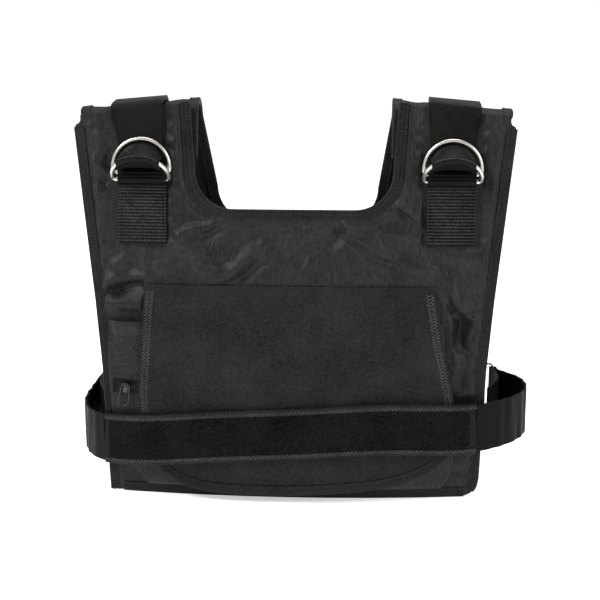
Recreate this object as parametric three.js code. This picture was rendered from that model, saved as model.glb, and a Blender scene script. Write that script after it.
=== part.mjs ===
// A weighted vest standing on its hem: two padded panels, webbing over the shoulders through paired D-rings,
// a flapped pouch on the front and a belt round the waist. Millimetres, +Z up, the front faces -Y.
import * as THREE from 'three';
import { mergeVertices } from 'three/addons/utils/BufferGeometryUtils.js';

// Padded panels
const EDGE = 3; // cloth thickness at a bound edge
const PAD = 7; // padded thickness of the front panel
const BACK_PAD = 6;
const SIDE_TOP = 382; // height of the shoulder edge at its outer corner
const SHOULDER_RISE = 13; // the shoulder edge is this much higher beside the neck
const ARM_HALF = 218.5; // half width at the top of the side edges
const HEM_OUT = 73.5; // how far the outer face stands out at the middle of the hem
const FRONT_TOP_OUT = 31.5;
const BOW = 18.6; // how far the hem's ends curve back from its middle
const LEAN = 1.6; // power of the curve that leans the panels in towards the shoulders
const NECK_HALF_TOP = 102.5;
const NECK_HALF = 98;
const NECK_LOW = 291.5;
const NECK_ROUND = 38;
const BACK_HEM_HALF = 186;
const BACK_TOP_HALF = 209;
const BACK_NECK_HALF_TOP = 96;
const BACK_NECK_HALF = 83;
const BACK_NECK_LOW = 262;
const ROLL_RADIUS = 24; // the back panel rolls over the shoulder on this radius
const ROLL_TOP = 396; // top of the roll beside the neck
const ROLL_FALL = 10; // and how much lower it is at the arm
const ROLL_START = 0.214; // angles at which the roll meets the back and the front
const ROLL_END = 0.18;
const TUCK = 35; // the rolled end goes this far down inside the front panel
const TUCK_GAP = 0.6;

// Binding tape folded round the edges
const TAPE = 1;
const TAPE_CLEAR = 0.3;
const TAPE_LEG = 9;
const TAPE_RIM = TAPE + TAPE_CLEAR;

// Webbing
const WEB = 1.8;
const WEB_HALF = 25.2;
const WEB_GAP = 0.4; // between two layers, and between a layer and the cloth
const TAB_HALF = 23.7;
const FOLD_HALF = 21; // the strap gathers to this half width in the rings
const STRAP_ARCH = 1.5; // the strap stands clear of the roll by this much
const STRAP_SEWN = 300; // height of the strap's sewn end on the back
const STRAP_TAIL = 338; // height of the free end, over the shoulder
const STRAP_REST = { behind: 2.1, over: 2.2, front: 0.8, high: 1.2 }; // how it bends over the shoulder's edge
const STRAP_DOWN = { edge: 8, share: 0.55, tip: 3, end: 11 }; // and goes on down to the rings
const STRAP_SAG = { back: 1, low: 3.5, front: 6 }; // where the strap turns up between the rings
const GATHER_STOPS = 3; // it gathers over this many stops
const TAB_LOW = 258;
const TAB_SEWN = 314; // above this the tab opens into a loop round the rings' bars

// D-rings
const WIRE = 2.3;
const RING_ROUND = 27.9; // radius of the arch, on the wire's centre line
const RING_CORNER = 3.5;
const RING_HEIGHT = 32.9;
const BAR_LOW = 320.7;
const BAR_STEP = 6.6; // the upper ring's bar lies this much above the lower one
const BAR_FORWARD = 1.8;
const RING_CLEAR = 0.7;
const RING_TILT = THREE.MathUtils.degToRad(42); // the lower ring tips forward

// Pouch, flap and zip
const SEAM = 216; // height of the flap's seam on the panel
const POUCH_LOW = 9.5;
const POUCH_MOUTH = 180;
const POUCH_HALF = 186;
const POUCH_WALL = 1.6;
const POUCH_CLEAR = 4.2; // between the pouch and the flap
const SEAT_GAP = 0.5;
const POUCH_SEAT = TAPE_RIM + SEAT_GAP; // the pouch's rim lies over the tapes
const BULGE = 16.2; // how far the flap stands off the panel in the middle
const BULGE_FALL = 4.7; // and how much less at FLAP_HALF
const FLAP_HALF = 150;
const FLAP = 1.8;
const PATCH = { left: -184.5, right: -150.5, low: 125, high: 173, thick: 1.4 };
const ZIP = { left: -182, right: -112, height: 113, half: 6.5, thick: 1.2 };
const SLIDER = { x: -168, width: 4.6, long: 11, thick: 2.2, lug: 2.3, hole: 1.35, turn: 0.17 };
const PULL = { wire: 0.85, top: 3.6, round: 5.2, length: 23 };

// Belt
const BELT = 2.4;
const BELT_HALF = 24.5;
const BELT_OUT = 90.4; // its inner face stands out this far at the middle
const BELT_DRAW = 24.5; // and is drawn in by this much at the panel's edges
const BELT_POWER = 5;
const BELT_EDGE = 188;
const BELT_TAPE_LEG = 6.5;
const BELT_BUTT = 1.3; // gap between the band's end and the side webbing
const PILE = 1.5;
const PILE_HALF = 17.5;
const LOOP_WEB = 2.2;
const BACK_RING = { wire: 1.6, tall: 54, reach: 11, round: 3, clear: 6 };
const BACK_TAB_SEWN = 26;
const BACK_TAB_FREE = 8;
const BACK_TAB_HALF = 23;

// Half widths of the front panel, as shares of the shoulder height and of the arm half width
const SIDE = [
  { height: 0, half: 0.86 }, { height: 0.34, half: 0.885 }, { height: 0.524, half: 0.913 },
  { height: 0.974, half: 1 }, { height: 0.982, half: 0.975 }, { height: 1, half: 0.975 },
];
// Stations round the front panel from the shoulder to the middle of the hem. neck runs 0 to 1 down the
// straight side, to 2 round the corner and to 3 at the middle; side is a share of the height, hem of its half.
const FRONT_STATIONS = [
  { neck: 0, side: 1 }, { neck: 0.12, side: 0.984 }, { neck: 0.2, side: 0.972 }, { neck: 0.5, side: 0.88 },
  { neck: 0.8, side: 0.78 }, { neck: 1.05, side: 0.68 }, { neck: 1.3, side: 0.58 }, { neck: 1.5, side: 0.48 },
  { neck: 1.65, side: 0.37 }, { neck: 1.76, side: 0.26 }, { neck: 1.84, side: 0.16 }, { neck: 1.89, side: 0.08 },
  { neck: 1.92, side: 0.033 }, { neck: 1.95, side: 0 }, { neck: 1.98, hem: 0.945 }, { neck: 2.12, hem: 0.8 },
  { neck: 2.35, hem: 0.62 }, { neck: 2.6, hem: 0.42 }, { neck: 2.82, hem: 0.21 }, { neck: 3, hem: 0 },
];
// Stations round the back panel. roll is a share of the way over the shoulder and down inside the front.
const BACK_STATIONS = [
  { roll: 1 }, { roll: 0.66 }, { roll: 0.53 }, { roll: 0.4 }, { roll: 0.27 }, { roll: 0.13 },
  { roll: 0 }, { neck: 0.5, side: 0.88 }, { neck: 1, side: 0.74 }, { neck: 1.35, side: 0.6 },
  { neck: 1.6, side: 0.45 }, { neck: 1.75, side: 0.3 }, { neck: 1.85, side: 0.16 }, { neck: 1.9, side: 0.08 },
  { neck: 1.94, side: 0.033 }, { neck: 1.96, side: 0 }, { neck: 2, hem: 0.945 }, { neck: 2.2, hem: 0.75 },
  { neck: 2.45, hem: 0.5 }, { neck: 2.7, hem: 0.25 }, { neck: 3, hem: 0 },
];
const FRONT_ROWS = [0, 0, 0.06, 0.19, 0.33, 0.48, 0.63, 0.79, 0.94, 1, 1]; // shares between the two tapes
const BACK_ROWS = [0, 0, 0.12, 0.5, 0.88, 1, 1];
// Folds in the front cloth: the middle and the half length as shares of the half width and the height,
// the turn in degrees, the half width as a share of the half width and the height in millimetres of a ridge.
const FOLD_FADE = 14; // folds die out over this distance beside what is sewn on
const FOLD_INSIDE = 0.3; // share of a fold's height that shows on the inner face
const FOLDS = [
  { x: -0.28, z: 0.64, turn: 28, long: 0.3, wide: 0.07, high: 4.5 },
  { x: -0.07, z: 0.68, turn: -50, long: 0.2, wide: 0.06, high: 3 },
  { x: 0.16, z: 0.69, turn: 35, long: 0.22, wide: 0.06, high: 3 },
  { x: 0.4, z: 0.66, turn: -38, long: 0.28, wide: 0.06, high: 4 },
  { x: 0.6, z: 0.62, turn: -60, long: 0.24, wide: 0.055, high: 3.5 },
  { x: -0.72, z: 0.55, turn: 12, long: 0.2, wide: 0.07, high: 4.5 },
  { x: -0.85, z: 0.87, turn: 40, long: 0.16, wide: 0.05, high: 3 },
  { x: 0.82, z: 0.45, turn: -58, long: 0.24, wide: 0.05, high: 3.5 },
];
// The flap's side edges, from its seam down, as shares of the seam's height and of FLAP_HALF
const FLAP_SIDES = [
  { height: 1, left: -0.975, right: 0.925 }, { height: 0.75, left: -1, right: 0.985 },
  { height: 0.42, left: -1.015, right: 1.07 }, { height: 0.22, left: -0.96, right: 1.04 },
  { height: 0, left: -0.93, right: 0.98 },
];
const FLAP_COLUMNS = [0, 0.036, 0.09, 0.17, 0.28, 0.4, 0.5, 0.6, 0.72, 0.83, 0.91, 0.964, 1];
const FLAP_BOTTOM = [0.225, 0.14, 0.08, 0.045, 0.032, 0.031, 0.034, 0.041, 0.056, 0.08, 0.12, 0.165, 0.225];
const FLAP_ROWS = [0, 0.04, 0.12, 0.25, 0.4, 0.55, 0.7, 0.85, 0.94, 1];
// How far the flap and the pouch stand off the panel, by share of the seam's height
const STAND = [
  { height: 0, out: 1.04 }, { height: 0.3, out: 1 }, { height: 0.55, out: 0.94 }, { height: 0.72, out: 0.9 },
  { height: 0.86, out: 0.74 }, { height: 0.95, out: 0.4 }, { height: 1, out: 0.035 },
];
// The pouch's side edges, as shares of its mouth's height and of POUCH_HALF, and its cross profile
const POUCH_SIDES = [
  { height: 0.05, left: -0.79, right: 0.8 }, { height: 0.11, left: -0.84, right: 0.85 },
  { height: 0.18, left: -0.89, right: 0.87 }, { height: 0.35, left: -0.96, right: 0.865 },
  { height: 0.6, left: -1, right: 0.84 }, { height: 1, left: -1, right: 0.8 },
];
const POUCH_COLUMNS = [
  { across: 0, out: 0 }, { across: 0.008, out: 0.5 }, { across: 0.03, out: 0.8 }, { across: 0.08, out: 0.95 },
  { across: 0.2, out: 1 }, { across: 0.35, out: 1 }, { across: 0.5, out: 1 }, { across: 0.65, out: 1 },
  { across: 0.8, out: 1 }, { across: 0.92, out: 0.97 }, { across: 0.97, out: 0.85 }, { across: 0.992, out: 0.5 },
  { across: 1, out: 0 },
];
const POUCH_ROWS = [
  { up: 0, out: 0 }, { up: 0.015, out: 0.5 }, { up: 0.06, out: 0.85 }, { up: 0.2, out: 1 }, { up: 0.42, out: 1 },
  { up: 0.64, out: 1 }, { up: 0.84, out: 1 }, { up: 1, out: 1 },
];
// The belt's middle line across the front, from left to right
const BELT_LINE = [
  { x: -1.02, height: 58 }, { x: -0.8, height: 62.5 }, { x: -0.48, height: 68.5 }, { x: 0.05, height: 74.3 },
  { x: 0.55, height: 79.8 }, { x: 0.98, height: 76 },
];
// The strap's way over the shoulder roll: degrees turned, and the share of STRAP_ARCH
const STRAP_OVER = [
  { turned: 8, arch: 0 }, { turned: 30, arch: 0.45 }, { turned: 52, arch: 0.85 }, { turned: 74, arch: 1 },
  { turned: 96, arch: 1 },
];
// The loop of webbing at each side, from the belt's end: share of the reach, and millimetres towards the back
const SIDE_LOOP = [
  { out: 0, back: 0 }, { out: 0.33, back: 9 }, { out: 0.68, back: 24 }, { out: 0.93, back: 45 },
  { out: 1, back: 68 }, { out: 0.9, back: 95 },
];
const LOOP_END = { out: 2, short: 11, tail: 3.5, tailLong: 12 }; // how it comes to the ring and ends inside
const BELT_COLUMNS = [
  -1.015, -0.985, -0.94, -0.88, -0.8, -0.66, -0.48, -0.26, 0, 0.26, 0.48, 0.66, 0.8, 0.88, 0.94, 0.975,
];
// Each side has its own small differences, as sewn and as worn
const SIDES = [
  { name: 'left', sign: -1, strap: 155.3, ring: 150.5, tab: 149.6, reach: 221, ringHeight: 70, rise: 6 },
  { name: 'right', sign: 1, strap: 157.5, ring: 155.6, tab: 155, reach: 238, ringHeight: 78, rise: 12 },
];

const cloth = (color, roughness) => new THREE.MeshStandardMaterial({ color, roughness, metalness: 0 });
const NYLON = cloth(0x1b1b1d, 0.72);
const LINING = cloth(0x141416, 0.85);
const BINDING = cloth(0x242427, 0.8);
const WEBBING = cloth(0x1e1e21, 0.65);
const HOOK_PILE = cloth(0x101012, 0.95);
const NICKEL = new THREE.MeshStandardMaterial({ color: 0xc8c6c0, roughness: 0.25, metalness: 1 });
const BLACK_METAL = new THREE.MeshStandardMaterial({ color: 0x26262a, roughness: 0.4, metalness: 0.8 });

const { lerp, clamp } = THREE.MathUtils;
const vec = (x, y, z) => new THREE.Vector3(x, y, z);
const vest = new THREE.Group();

/** The value of a column where another column, which rises or falls, has a given value. */
function readTable(table, key, at, column) {
  const rising = table[table.length - 1][key] > table[0][key];
  const rows = rising ? table : [...table].reverse();
  let k = 1;
  while (k < rows.length - 1 && rows[k][key] < at) k++;
  const share = clamp((at - rows[k - 1][key]) / (rows[k][key] - rows[k - 1][key]), 0, 1);
  return lerp(rows[k - 1][column], rows[k][column], share);
}

/** Makes a closed mesh from a geometry: merged corners, no empty faces, faces outwards. */
function addSolid(name, material, geometry) {
  for (const attribute of ['normal', 'uv']) geometry.deleteAttribute(attribute);
  const merged = mergeVertices(geometry, 1e-3);
  const index = [];
  let volume = 0;
  for (let k = 0; k < merged.index.count; k += 3) {
    const [a, b, c] = [0, 1, 2].map((n) => merged.index.getX(k + n));
    if (a === b || b === c || c === a) continue;
    index.push(a, b, c);
    const corner = (n) => new THREE.Vector3().fromBufferAttribute(merged.attributes.position, n);
    volume += corner(a).dot(corner(b).cross(corner(c)));
  }
  if (volume < 0) index.reverse();
  merged.setIndex(index);
  merged.clearGroups();
  merged.computeVertexNormals();
  const mesh = new THREE.Mesh(merged, material);
  mesh.name = name;
  vest.add(mesh);
  return mesh;
}

/** A thin body of columns by rows cells, whose corners are placed by a function of column, row and face. */
function addSheet(name, material, columns, rows, place) {
  const geometry = new THREE.BoxGeometry(1, 1, 1, columns, rows, 1);
  const { position } = geometry.attributes;
  for (let k = 0; k < position.count; k++) {
    const column = Math.round((position.getX(k) + 0.5) * columns);
    const row = Math.round((position.getY(k) + 0.5) * rows);
    const p = place(column, row, Math.round(position.getZ(k) + 0.5));
    position.setXYZ(k, p.x, p.y, p.z);
  }
  return addSolid(name, material, geometry);
}

/** Tape folded round an edge. Each stop has the edge and the leg's end on the sheet's middle, and its normal. */
function addTape(name, stops, half) {
  addSheet(name, BINDING, stops.length - 1, 3, (column, row, face) => {
    const { edge, tip, normal } = stops[column];
    const rim = TAPE_CLEAR + (face ? 0 : TAPE);
    const outward = edge.clone().sub(tip).normalize().multiplyScalar(row === 1 || row === 2 ? rim : 0);
    const side = normal.clone().multiplyScalar((half + rim) * (row < 2 ? 1 : -1));
    return (row === 1 || row === 2 ? edge : tip).clone().add(outward).add(side);
  });
}

/** Webbing whose lengthwise lines each have a path of their own, so that it drapes over what it lies on. */
function addWebbing(name, half, cells, thick, lineAt) {
  const lines = Array.from({ length: cells + 1 }, (_, k) => lineAt((2 * k / cells - 1) * half));
  addSheet(name, WEBBING, lines[0].length - 1, cells, (column, row, face) => {
    const { point, normal } = lines[row][column];
    return point.clone().addScaledVector(normal, thick * (face - 0.5));
  });
}

/** Turns a flat path into its unit normals, to the left of its direction. */
function pathNormals(path) {
  return path.map((p, k) => {
    const before = path[Math.max(k - 1, 0)];
    const after = path[Math.min(k + 1, path.length - 1)];
    const along = after.clone().sub(before).normalize();
    return new THREE.Vector2(-along.y, along.x);
  });
}

function arcPath(middle, radius, from, to, steps) {
  return Array.from({ length: steps + 1 }, (_, k) => {
    const angle = THREE.MathUtils.degToRad(lerp(from, to, k / steps));
    return new THREE.Vector2(middle.x + radius * Math.cos(angle), middle.y + radius * Math.sin(angle));
  });
}

/** The front panel's outer face: its y at a place. */
function frontFace(x, z) {
  const up = clamp(z / SIDE_TOP, 0, 1.1);
  return -(HEM_OUT - (HEM_OUT - FRONT_TOP_OUT) * up ** LEAN) + BOW * (1 - up) * (x / ARM_HALF) ** 2;
}

const frontHalf = (z) => ARM_HALF * readTable(SIDE, 'height', z / SIDE_TOP, 'half') - TAPE_RIM;
const shoulderEdge = (x) => SIDE_TOP + SHOULDER_RISE * (1 - (Math.abs(x) - NECK_HALF_TOP) / (ARM_HALF - NECK_HALF_TOP));

/** A point of half a neckline: 0 to 1 down its side, to 2 round its corner, to 3 at its middle. */
function neckline(at, top, halfTop, half, low, grow) {
  const round = NECK_ROUND + grow;
  const middle = vec(half + grow - round, 0, low - grow + round);
  if (at <= 1) return vec(lerp(halfTop + grow, half + grow, at), 0, lerp(top, middle.z, at));
  if (at <= 2) {
    const angle = ((at - 1) * Math.PI) / 2;
    return vec(middle.x + round * Math.cos(angle), 0, middle.z - round * Math.sin(angle));
  }
  return vec(middle.x * (3 - at), 0, low - grow);
}

/** The flat grid of a panel, as rows of points from the neck to the outline, mirrored about its middle. */
function mirrorStations(half) {
  const left = half.map((points) => points.map((p) => vec(-p.x, p.y, p.z)));
  const right = half.slice(0, -1).reverse();
  return [...left, ...right];
}

/** The height that the folds add to the front cloth. */
function foldHeight(x, z) {
  let high = 0;
  for (const fold of FOLDS) {
    const angle = THREE.MathUtils.degToRad(fold.turn);
    const dx = x - fold.x * ARM_HALF;
    const dz = z - fold.z * SIDE_TOP;
    const along = (dx * Math.cos(angle) + dz * Math.sin(angle)) / (fold.long * ARM_HALF);
    const aside = (dz * Math.cos(angle) - dx * Math.sin(angle)) / (fold.wide * ARM_HALF);
    high += fold.high * Math.exp(-2 * along ** 2 - 1.2 * aside ** 2);
  }
  const fade = (distance) => clamp(distance / FOLD_FADE, 0, 1);
  const underWeb = Math.min(fade(Math.abs(Math.abs(x) - SIDES[0].strap) - WEB_HALF - FOLD_FADE), 1);
  const beside = Math.max(underWeb, fade(TAB_LOW - FOLD_FADE - z));
  const overPouch = Math.max(fade(z - SEAM - FOLD_FADE * 1.5), fade(Math.abs(x) - POUCH_HALF * 0.9));
  return high * beside * overPouch;
}

/** The front panel and its tapes. */
function addFront() {
  const stations = FRONT_STATIONS.map(({ neck, side, hem }) => {
    const grow = (by) => neckline(neck, shoulderEdge(NECK_HALF_TOP), NECK_HALF_TOP, NECK_HALF, NECK_LOW, TAPE_RIM + by);
    const atHem = hem !== undefined;
    const hemHalf = frontHalf(0);
    const outer = (by) => (atHem
      ? vec(hem * hemHalf, 0, TAPE_RIM + by)
      : vec(frontHalf(side * SIDE_TOP) - by, 0, Math.max(side * SIDE_TOP, TAPE_RIM + by)));
    const [inside, outside] = [grow(TAPE_LEG), outer(TAPE_LEG)];
    const row = FRONT_ROWS.map((share) => inside.clone().lerp(outside, share));
    row[0] = grow(0);
    row[row.length - 1] = outer(0);
    for (const p of row) p.z = Math.min(p.z, shoulderEdge(p.x));
    return row;
  });
  const grid = mirrorStations(stations);
  const last = FRONT_ROWS.length - 1;
  const inner = (row) => (row < 2 || row > last - 2 ? EDGE : row === 2 || row === last - 2 ? (EDGE + PAD) / 2 : PAD);
  addSheet('front_panel', NYLON, grid.length - 1, last, (column, row, face) => {
    const p = grid[column][row];
    const atTop = column < 2 || column > grid.length - 3;
    const folds = row > 1 && row < last - 1 && !atTop ? foldHeight(p.x, p.z) : 0;
    const thick = atTop ? EDGE : inner(row);
    return vec(p.x, frontFace(p.x, p.z) + (face ? thick : 0) - folds * (face ? FOLD_INSIDE : 1), p.z);
  });
  const middle = (p) => vec(p.x, frontFace(p.x, p.z) + EDGE / 2, p.z);
  const stop = (edge, tip) => ({ edge: middle(edge), tip: middle(tip), normal: vec(0, -1, 0) });
  addTape('front_binding_neck', grid.map((row) => stop(row[0], row[1])), EDGE / 2);
  const from = FRONT_STATIONS.findIndex(({ side }) => side < 0.98);
  const corner = FRONT_STATIONS.findIndex(({ side }) => side === 0);
  const level = (row) => stop(row[last], vec(row[last].x - Math.sign(row[last].x) * TAPE_LEG, 0, row[last].z));
  addTape('front_binding_left', grid.slice(from, corner + 1).map(level), EDGE / 2);
  addTape('front_binding_right', grid.slice(-corner - 1, -from || undefined).map(level), EDGE / 2);
  const hem = grid.slice(corner + 1, -corner - 1).map((row) => stop(row[last], row[last - 1]));
  addTape('front_binding_hem', hem, EDGE / 2);
}

/** The shoulder roll at a place across: its middle, and where it meets the back and the front. */
function rollAt(x) {
  const fall = ROLL_FALL * ((Math.abs(x) - BACK_NECK_HALF_TOP) / (BACK_TOP_HALF - BACK_NECK_HALF_TOP));
  const z = ROLL_TOP - Math.max(fall, 0) - ROLL_RADIUS;
  const frontZ = z + ROLL_RADIUS * Math.sin(ROLL_END);
  const y = frontFace(x, frontZ) + PAD + TUCK_GAP + ROLL_RADIUS * Math.cos(ROLL_END);
  return { y, z, backZ: z + ROLL_RADIUS * Math.sin(ROLL_START), frontZ };
}

const ROLL_LENGTH = ROLL_RADIUS * (Math.PI - ROLL_START - ROLL_END);

/** A point of the back panel: its place across, its length up the cloth, and its depth below the outer face. */
function backFace(x, up, depth = 0) {
  const roll = rollAt(x);
  const turned = ROLL_START + (up - roll.backZ) / ROLL_RADIUS;
  if (turned < ROLL_START) {
    const share = Math.max(up / roll.backZ, 0);
    const topOut = roll.y + ROLL_RADIUS * Math.cos(ROLL_START);
    const y = HEM_OUT - (HEM_OUT - topOut) * share ** LEAN - BOW * (1 - share) * (x / ARM_HALF) ** 2;
    return vec(x, y - depth, up);
  }
  const radius = ROLL_RADIUS - depth;
  if (turned < Math.PI - ROLL_END) {
    return vec(x, roll.y + radius * Math.cos(turned), roll.z + radius * Math.sin(turned));
  }
  const z = roll.frontZ - (up - roll.backZ - ROLL_LENGTH);
  return vec(x, frontFace(x, z) + PAD + TUCK_GAP + depth, z);
}

/** The back panel, which rolls over the shoulders and tucks inside the front, and its tapes. */
function addBack() {
  const backHalf = (z) => lerp(BACK_HEM_HALF, BACK_TOP_HALF, z / rollAt(BACK_TOP_HALF).backZ) - TAPE_RIM;
  const topHalf = BACK_TOP_HALF - TAPE_RIM;
  const stations = BACK_STATIONS.map(({ roll, neck, side, hem }) => {
    const rise = (x) => rollAt(x).backZ + (roll ?? 0) * (ROLL_LENGTH + TUCK);
    const neckTop = rollAt(BACK_NECK_HALF_TOP).backZ;
    const grow = (by) => {
      const p = neckline(neck ?? 0, neckTop, BACK_NECK_HALF_TOP, BACK_NECK_HALF, BACK_NECK_LOW, TAPE_RIM + by);
      return neck === undefined ? vec(p.x, 0, rise(p.x)) : p;
    };
    const outer = (by) => {
      if (roll !== undefined) return vec(topHalf - by, 0, rise(topHalf - by));
      if (hem !== undefined) return vec(hem * backHalf(0), 0, TAPE_RIM + by);
      const z = side * rollAt(BACK_TOP_HALF).backZ;
      return vec(backHalf(z) - by, 0, Math.max(z, TAPE_RIM + by));
    };
    const [inside, outside] = [grow(TAPE_LEG), outer(TAPE_LEG)];
    const row = BACK_ROWS.map((share) => inside.clone().lerp(outside, share));
    row[0] = grow(0);
    row[row.length - 1] = outer(0);
    return row;
  });
  const grid = mirrorStations(stations);
  const last = BACK_ROWS.length - 1;
  addSheet('back_panel', LINING, grid.length - 1, last, (column, row, face) => {
    const p = grid[column][row];
    const thick = row < 2 || row > last - 2 ? EDGE : BACK_PAD;
    return backFace(p.x, p.z, face ? thick : 0);
  });
  const stop = (edge, tip) => {
    const [outside, inside] = [backFace(edge.x, edge.z), backFace(edge.x, edge.z, EDGE)];
    const normal = outside.sub(inside).normalize();
    return { edge: backFace(edge.x, edge.z, EDGE / 2), tip: backFace(tip.x, tip.z, EDGE / 2), normal };
  };
  const corner = BACK_STATIONS.findIndex(({ side }) => side === 0);
  const square = (row, column) => (column === corner || column === grid.length - 1 - corner
    ? stop(row[last], vec(row[last].x - Math.sign(row[last].x) * TAPE_LEG, 0, row[last].z))
    : stop(row[last], row[last - 1]));
  addTape('back_binding_neck', grid.map((row) => stop(row[0], row[1])), EDGE / 2);
  const edges = grid.map(square);
  addTape('back_binding_left', edges.slice(0, corner + 1), EDGE / 2);
  addTape('back_binding_right', edges.slice(-corner - 1), EDGE / 2);
  addTape('back_binding_hem', edges.slice(corner + 1, -corner - 1), EDGE / 2);
}

/** Where the two rings of a side hang: the bars in the tab's loop and the tops of the arches, in y and z. */
function ringPlaces(x) {
  const back = frontFace(x, BAR_LOW + BAR_STEP) - WEB_GAP * 2 - WEB - WIRE;
  const upperBar = new THREE.Vector2(back, BAR_LOW + BAR_STEP);
  const lowerBar = new THREE.Vector2(back - BAR_FORWARD, BAR_LOW);
  const archY = frontFace(x, upperBar.y + RING_HEIGHT) - 2 * (WEB + WEB_GAP) - RING_CLEAR - WIRE;
  const lean = Math.asin((upperBar.x - archY) / RING_HEIGHT);
  const tip = (bar, angle) => bar.clone().add(new THREE.Vector2(-Math.sin(angle), Math.cos(angle)).multiplyScalar(RING_HEIGHT));
  return {
    upper: { bar: upperBar, angle: lean, tip: tip(upperBar, lean) },
    lower: { bar: lowerBar, angle: RING_TILT, tip: tip(lowerBar, RING_TILT) },
  };
}

/** The centre line of a D-ring: a bar with round corners under an arch. */
class RingCurve extends THREE.Curve {
  constructor(x, place) {
    super();
    const straight = RING_ROUND - RING_CORNER;
    const shape = new THREE.Path();
    shape.moveTo(-straight, 0);
    shape.lineTo(straight, 0);
    shape.absarc(straight, RING_CORNER, RING_CORNER, -Math.PI / 2, 0);
    shape.absarc(0, RING_HEIGHT - RING_ROUND, RING_ROUND, 0, Math.PI);
    shape.absarc(-straight, RING_CORNER, RING_CORNER, Math.PI, Math.PI * 1.5);
    Object.assign(this, { shape, x, place });
  }

  getPoint(t, target = new THREE.Vector3()) {
    const { x, y } = this.shape.getPointAt(t % 1);
    const { bar, angle } = this.place;
    return target.set(this.x + x, bar.x - y * Math.sin(angle), bar.y + y * Math.cos(angle));
  }
}

/** How far webbing that wraps an arch, this far outside its wire, falls at a distance from its middle. */
function archFall(aside, outside) {
  const radius = RING_ROUND + outside;
  return radius - Math.sqrt(radius ** 2 - aside ** 2);
}

/** Sets a path of y and z at a place across. */
function crossLine(x, path) {
  const normals = pathNormals(path);
  return path.map((p, k) => ({ point: vec(x, p.x, p.y), normal: vec(0, normals[k].x, normals[k].y) }));
}

/** The two rings of a side, and the tab whose loop holds their bars. */
function addRings({ name, sign, ring, tab }) {
  const places = ringPlaces(sign * ring);
  for (const part of ['upper', 'lower']) {
    const tube = new THREE.TubeGeometry(new RingCurve(sign * ring, places[part]), 26, WIRE, 5, true);
    addSolid(`d_ring_${part}_${name}`, NICKEL, tube);
  }
  const turn = WIRE + WEB_GAP + WEB / 2;
  addWebbing(`ring_tab_${name}`, TAB_HALF, 2, WEB, (aside) => {
    const x = sign * tab + aside;
    const onFace = (z, layer) => new THREE.Vector2(
      frontFace(x, z) - WEB_GAP - WEB / 2 - layer * (WEB + WEB_GAP), z);
    return crossLine(x, [
      onFace(TAB_LOW, 0), onFace((TAB_LOW + TAB_SEWN) / 2, 0), onFace(TAB_SEWN, 0), onFace(BAR_LOW, 0),
      ...arcPath({ x: places.upper.bar.x, y: places.upper.bar.y }, turn, 0, 160, 6),
      ...arcPath(places.lower.bar, turn, 165, 235, 3),
      onFace(TAB_SEWN - 1, 1), onFace((TAB_LOW + TAB_SEWN) / 2, 1), onFace(TAB_LOW, 1),
    ]);
  });
}

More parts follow.
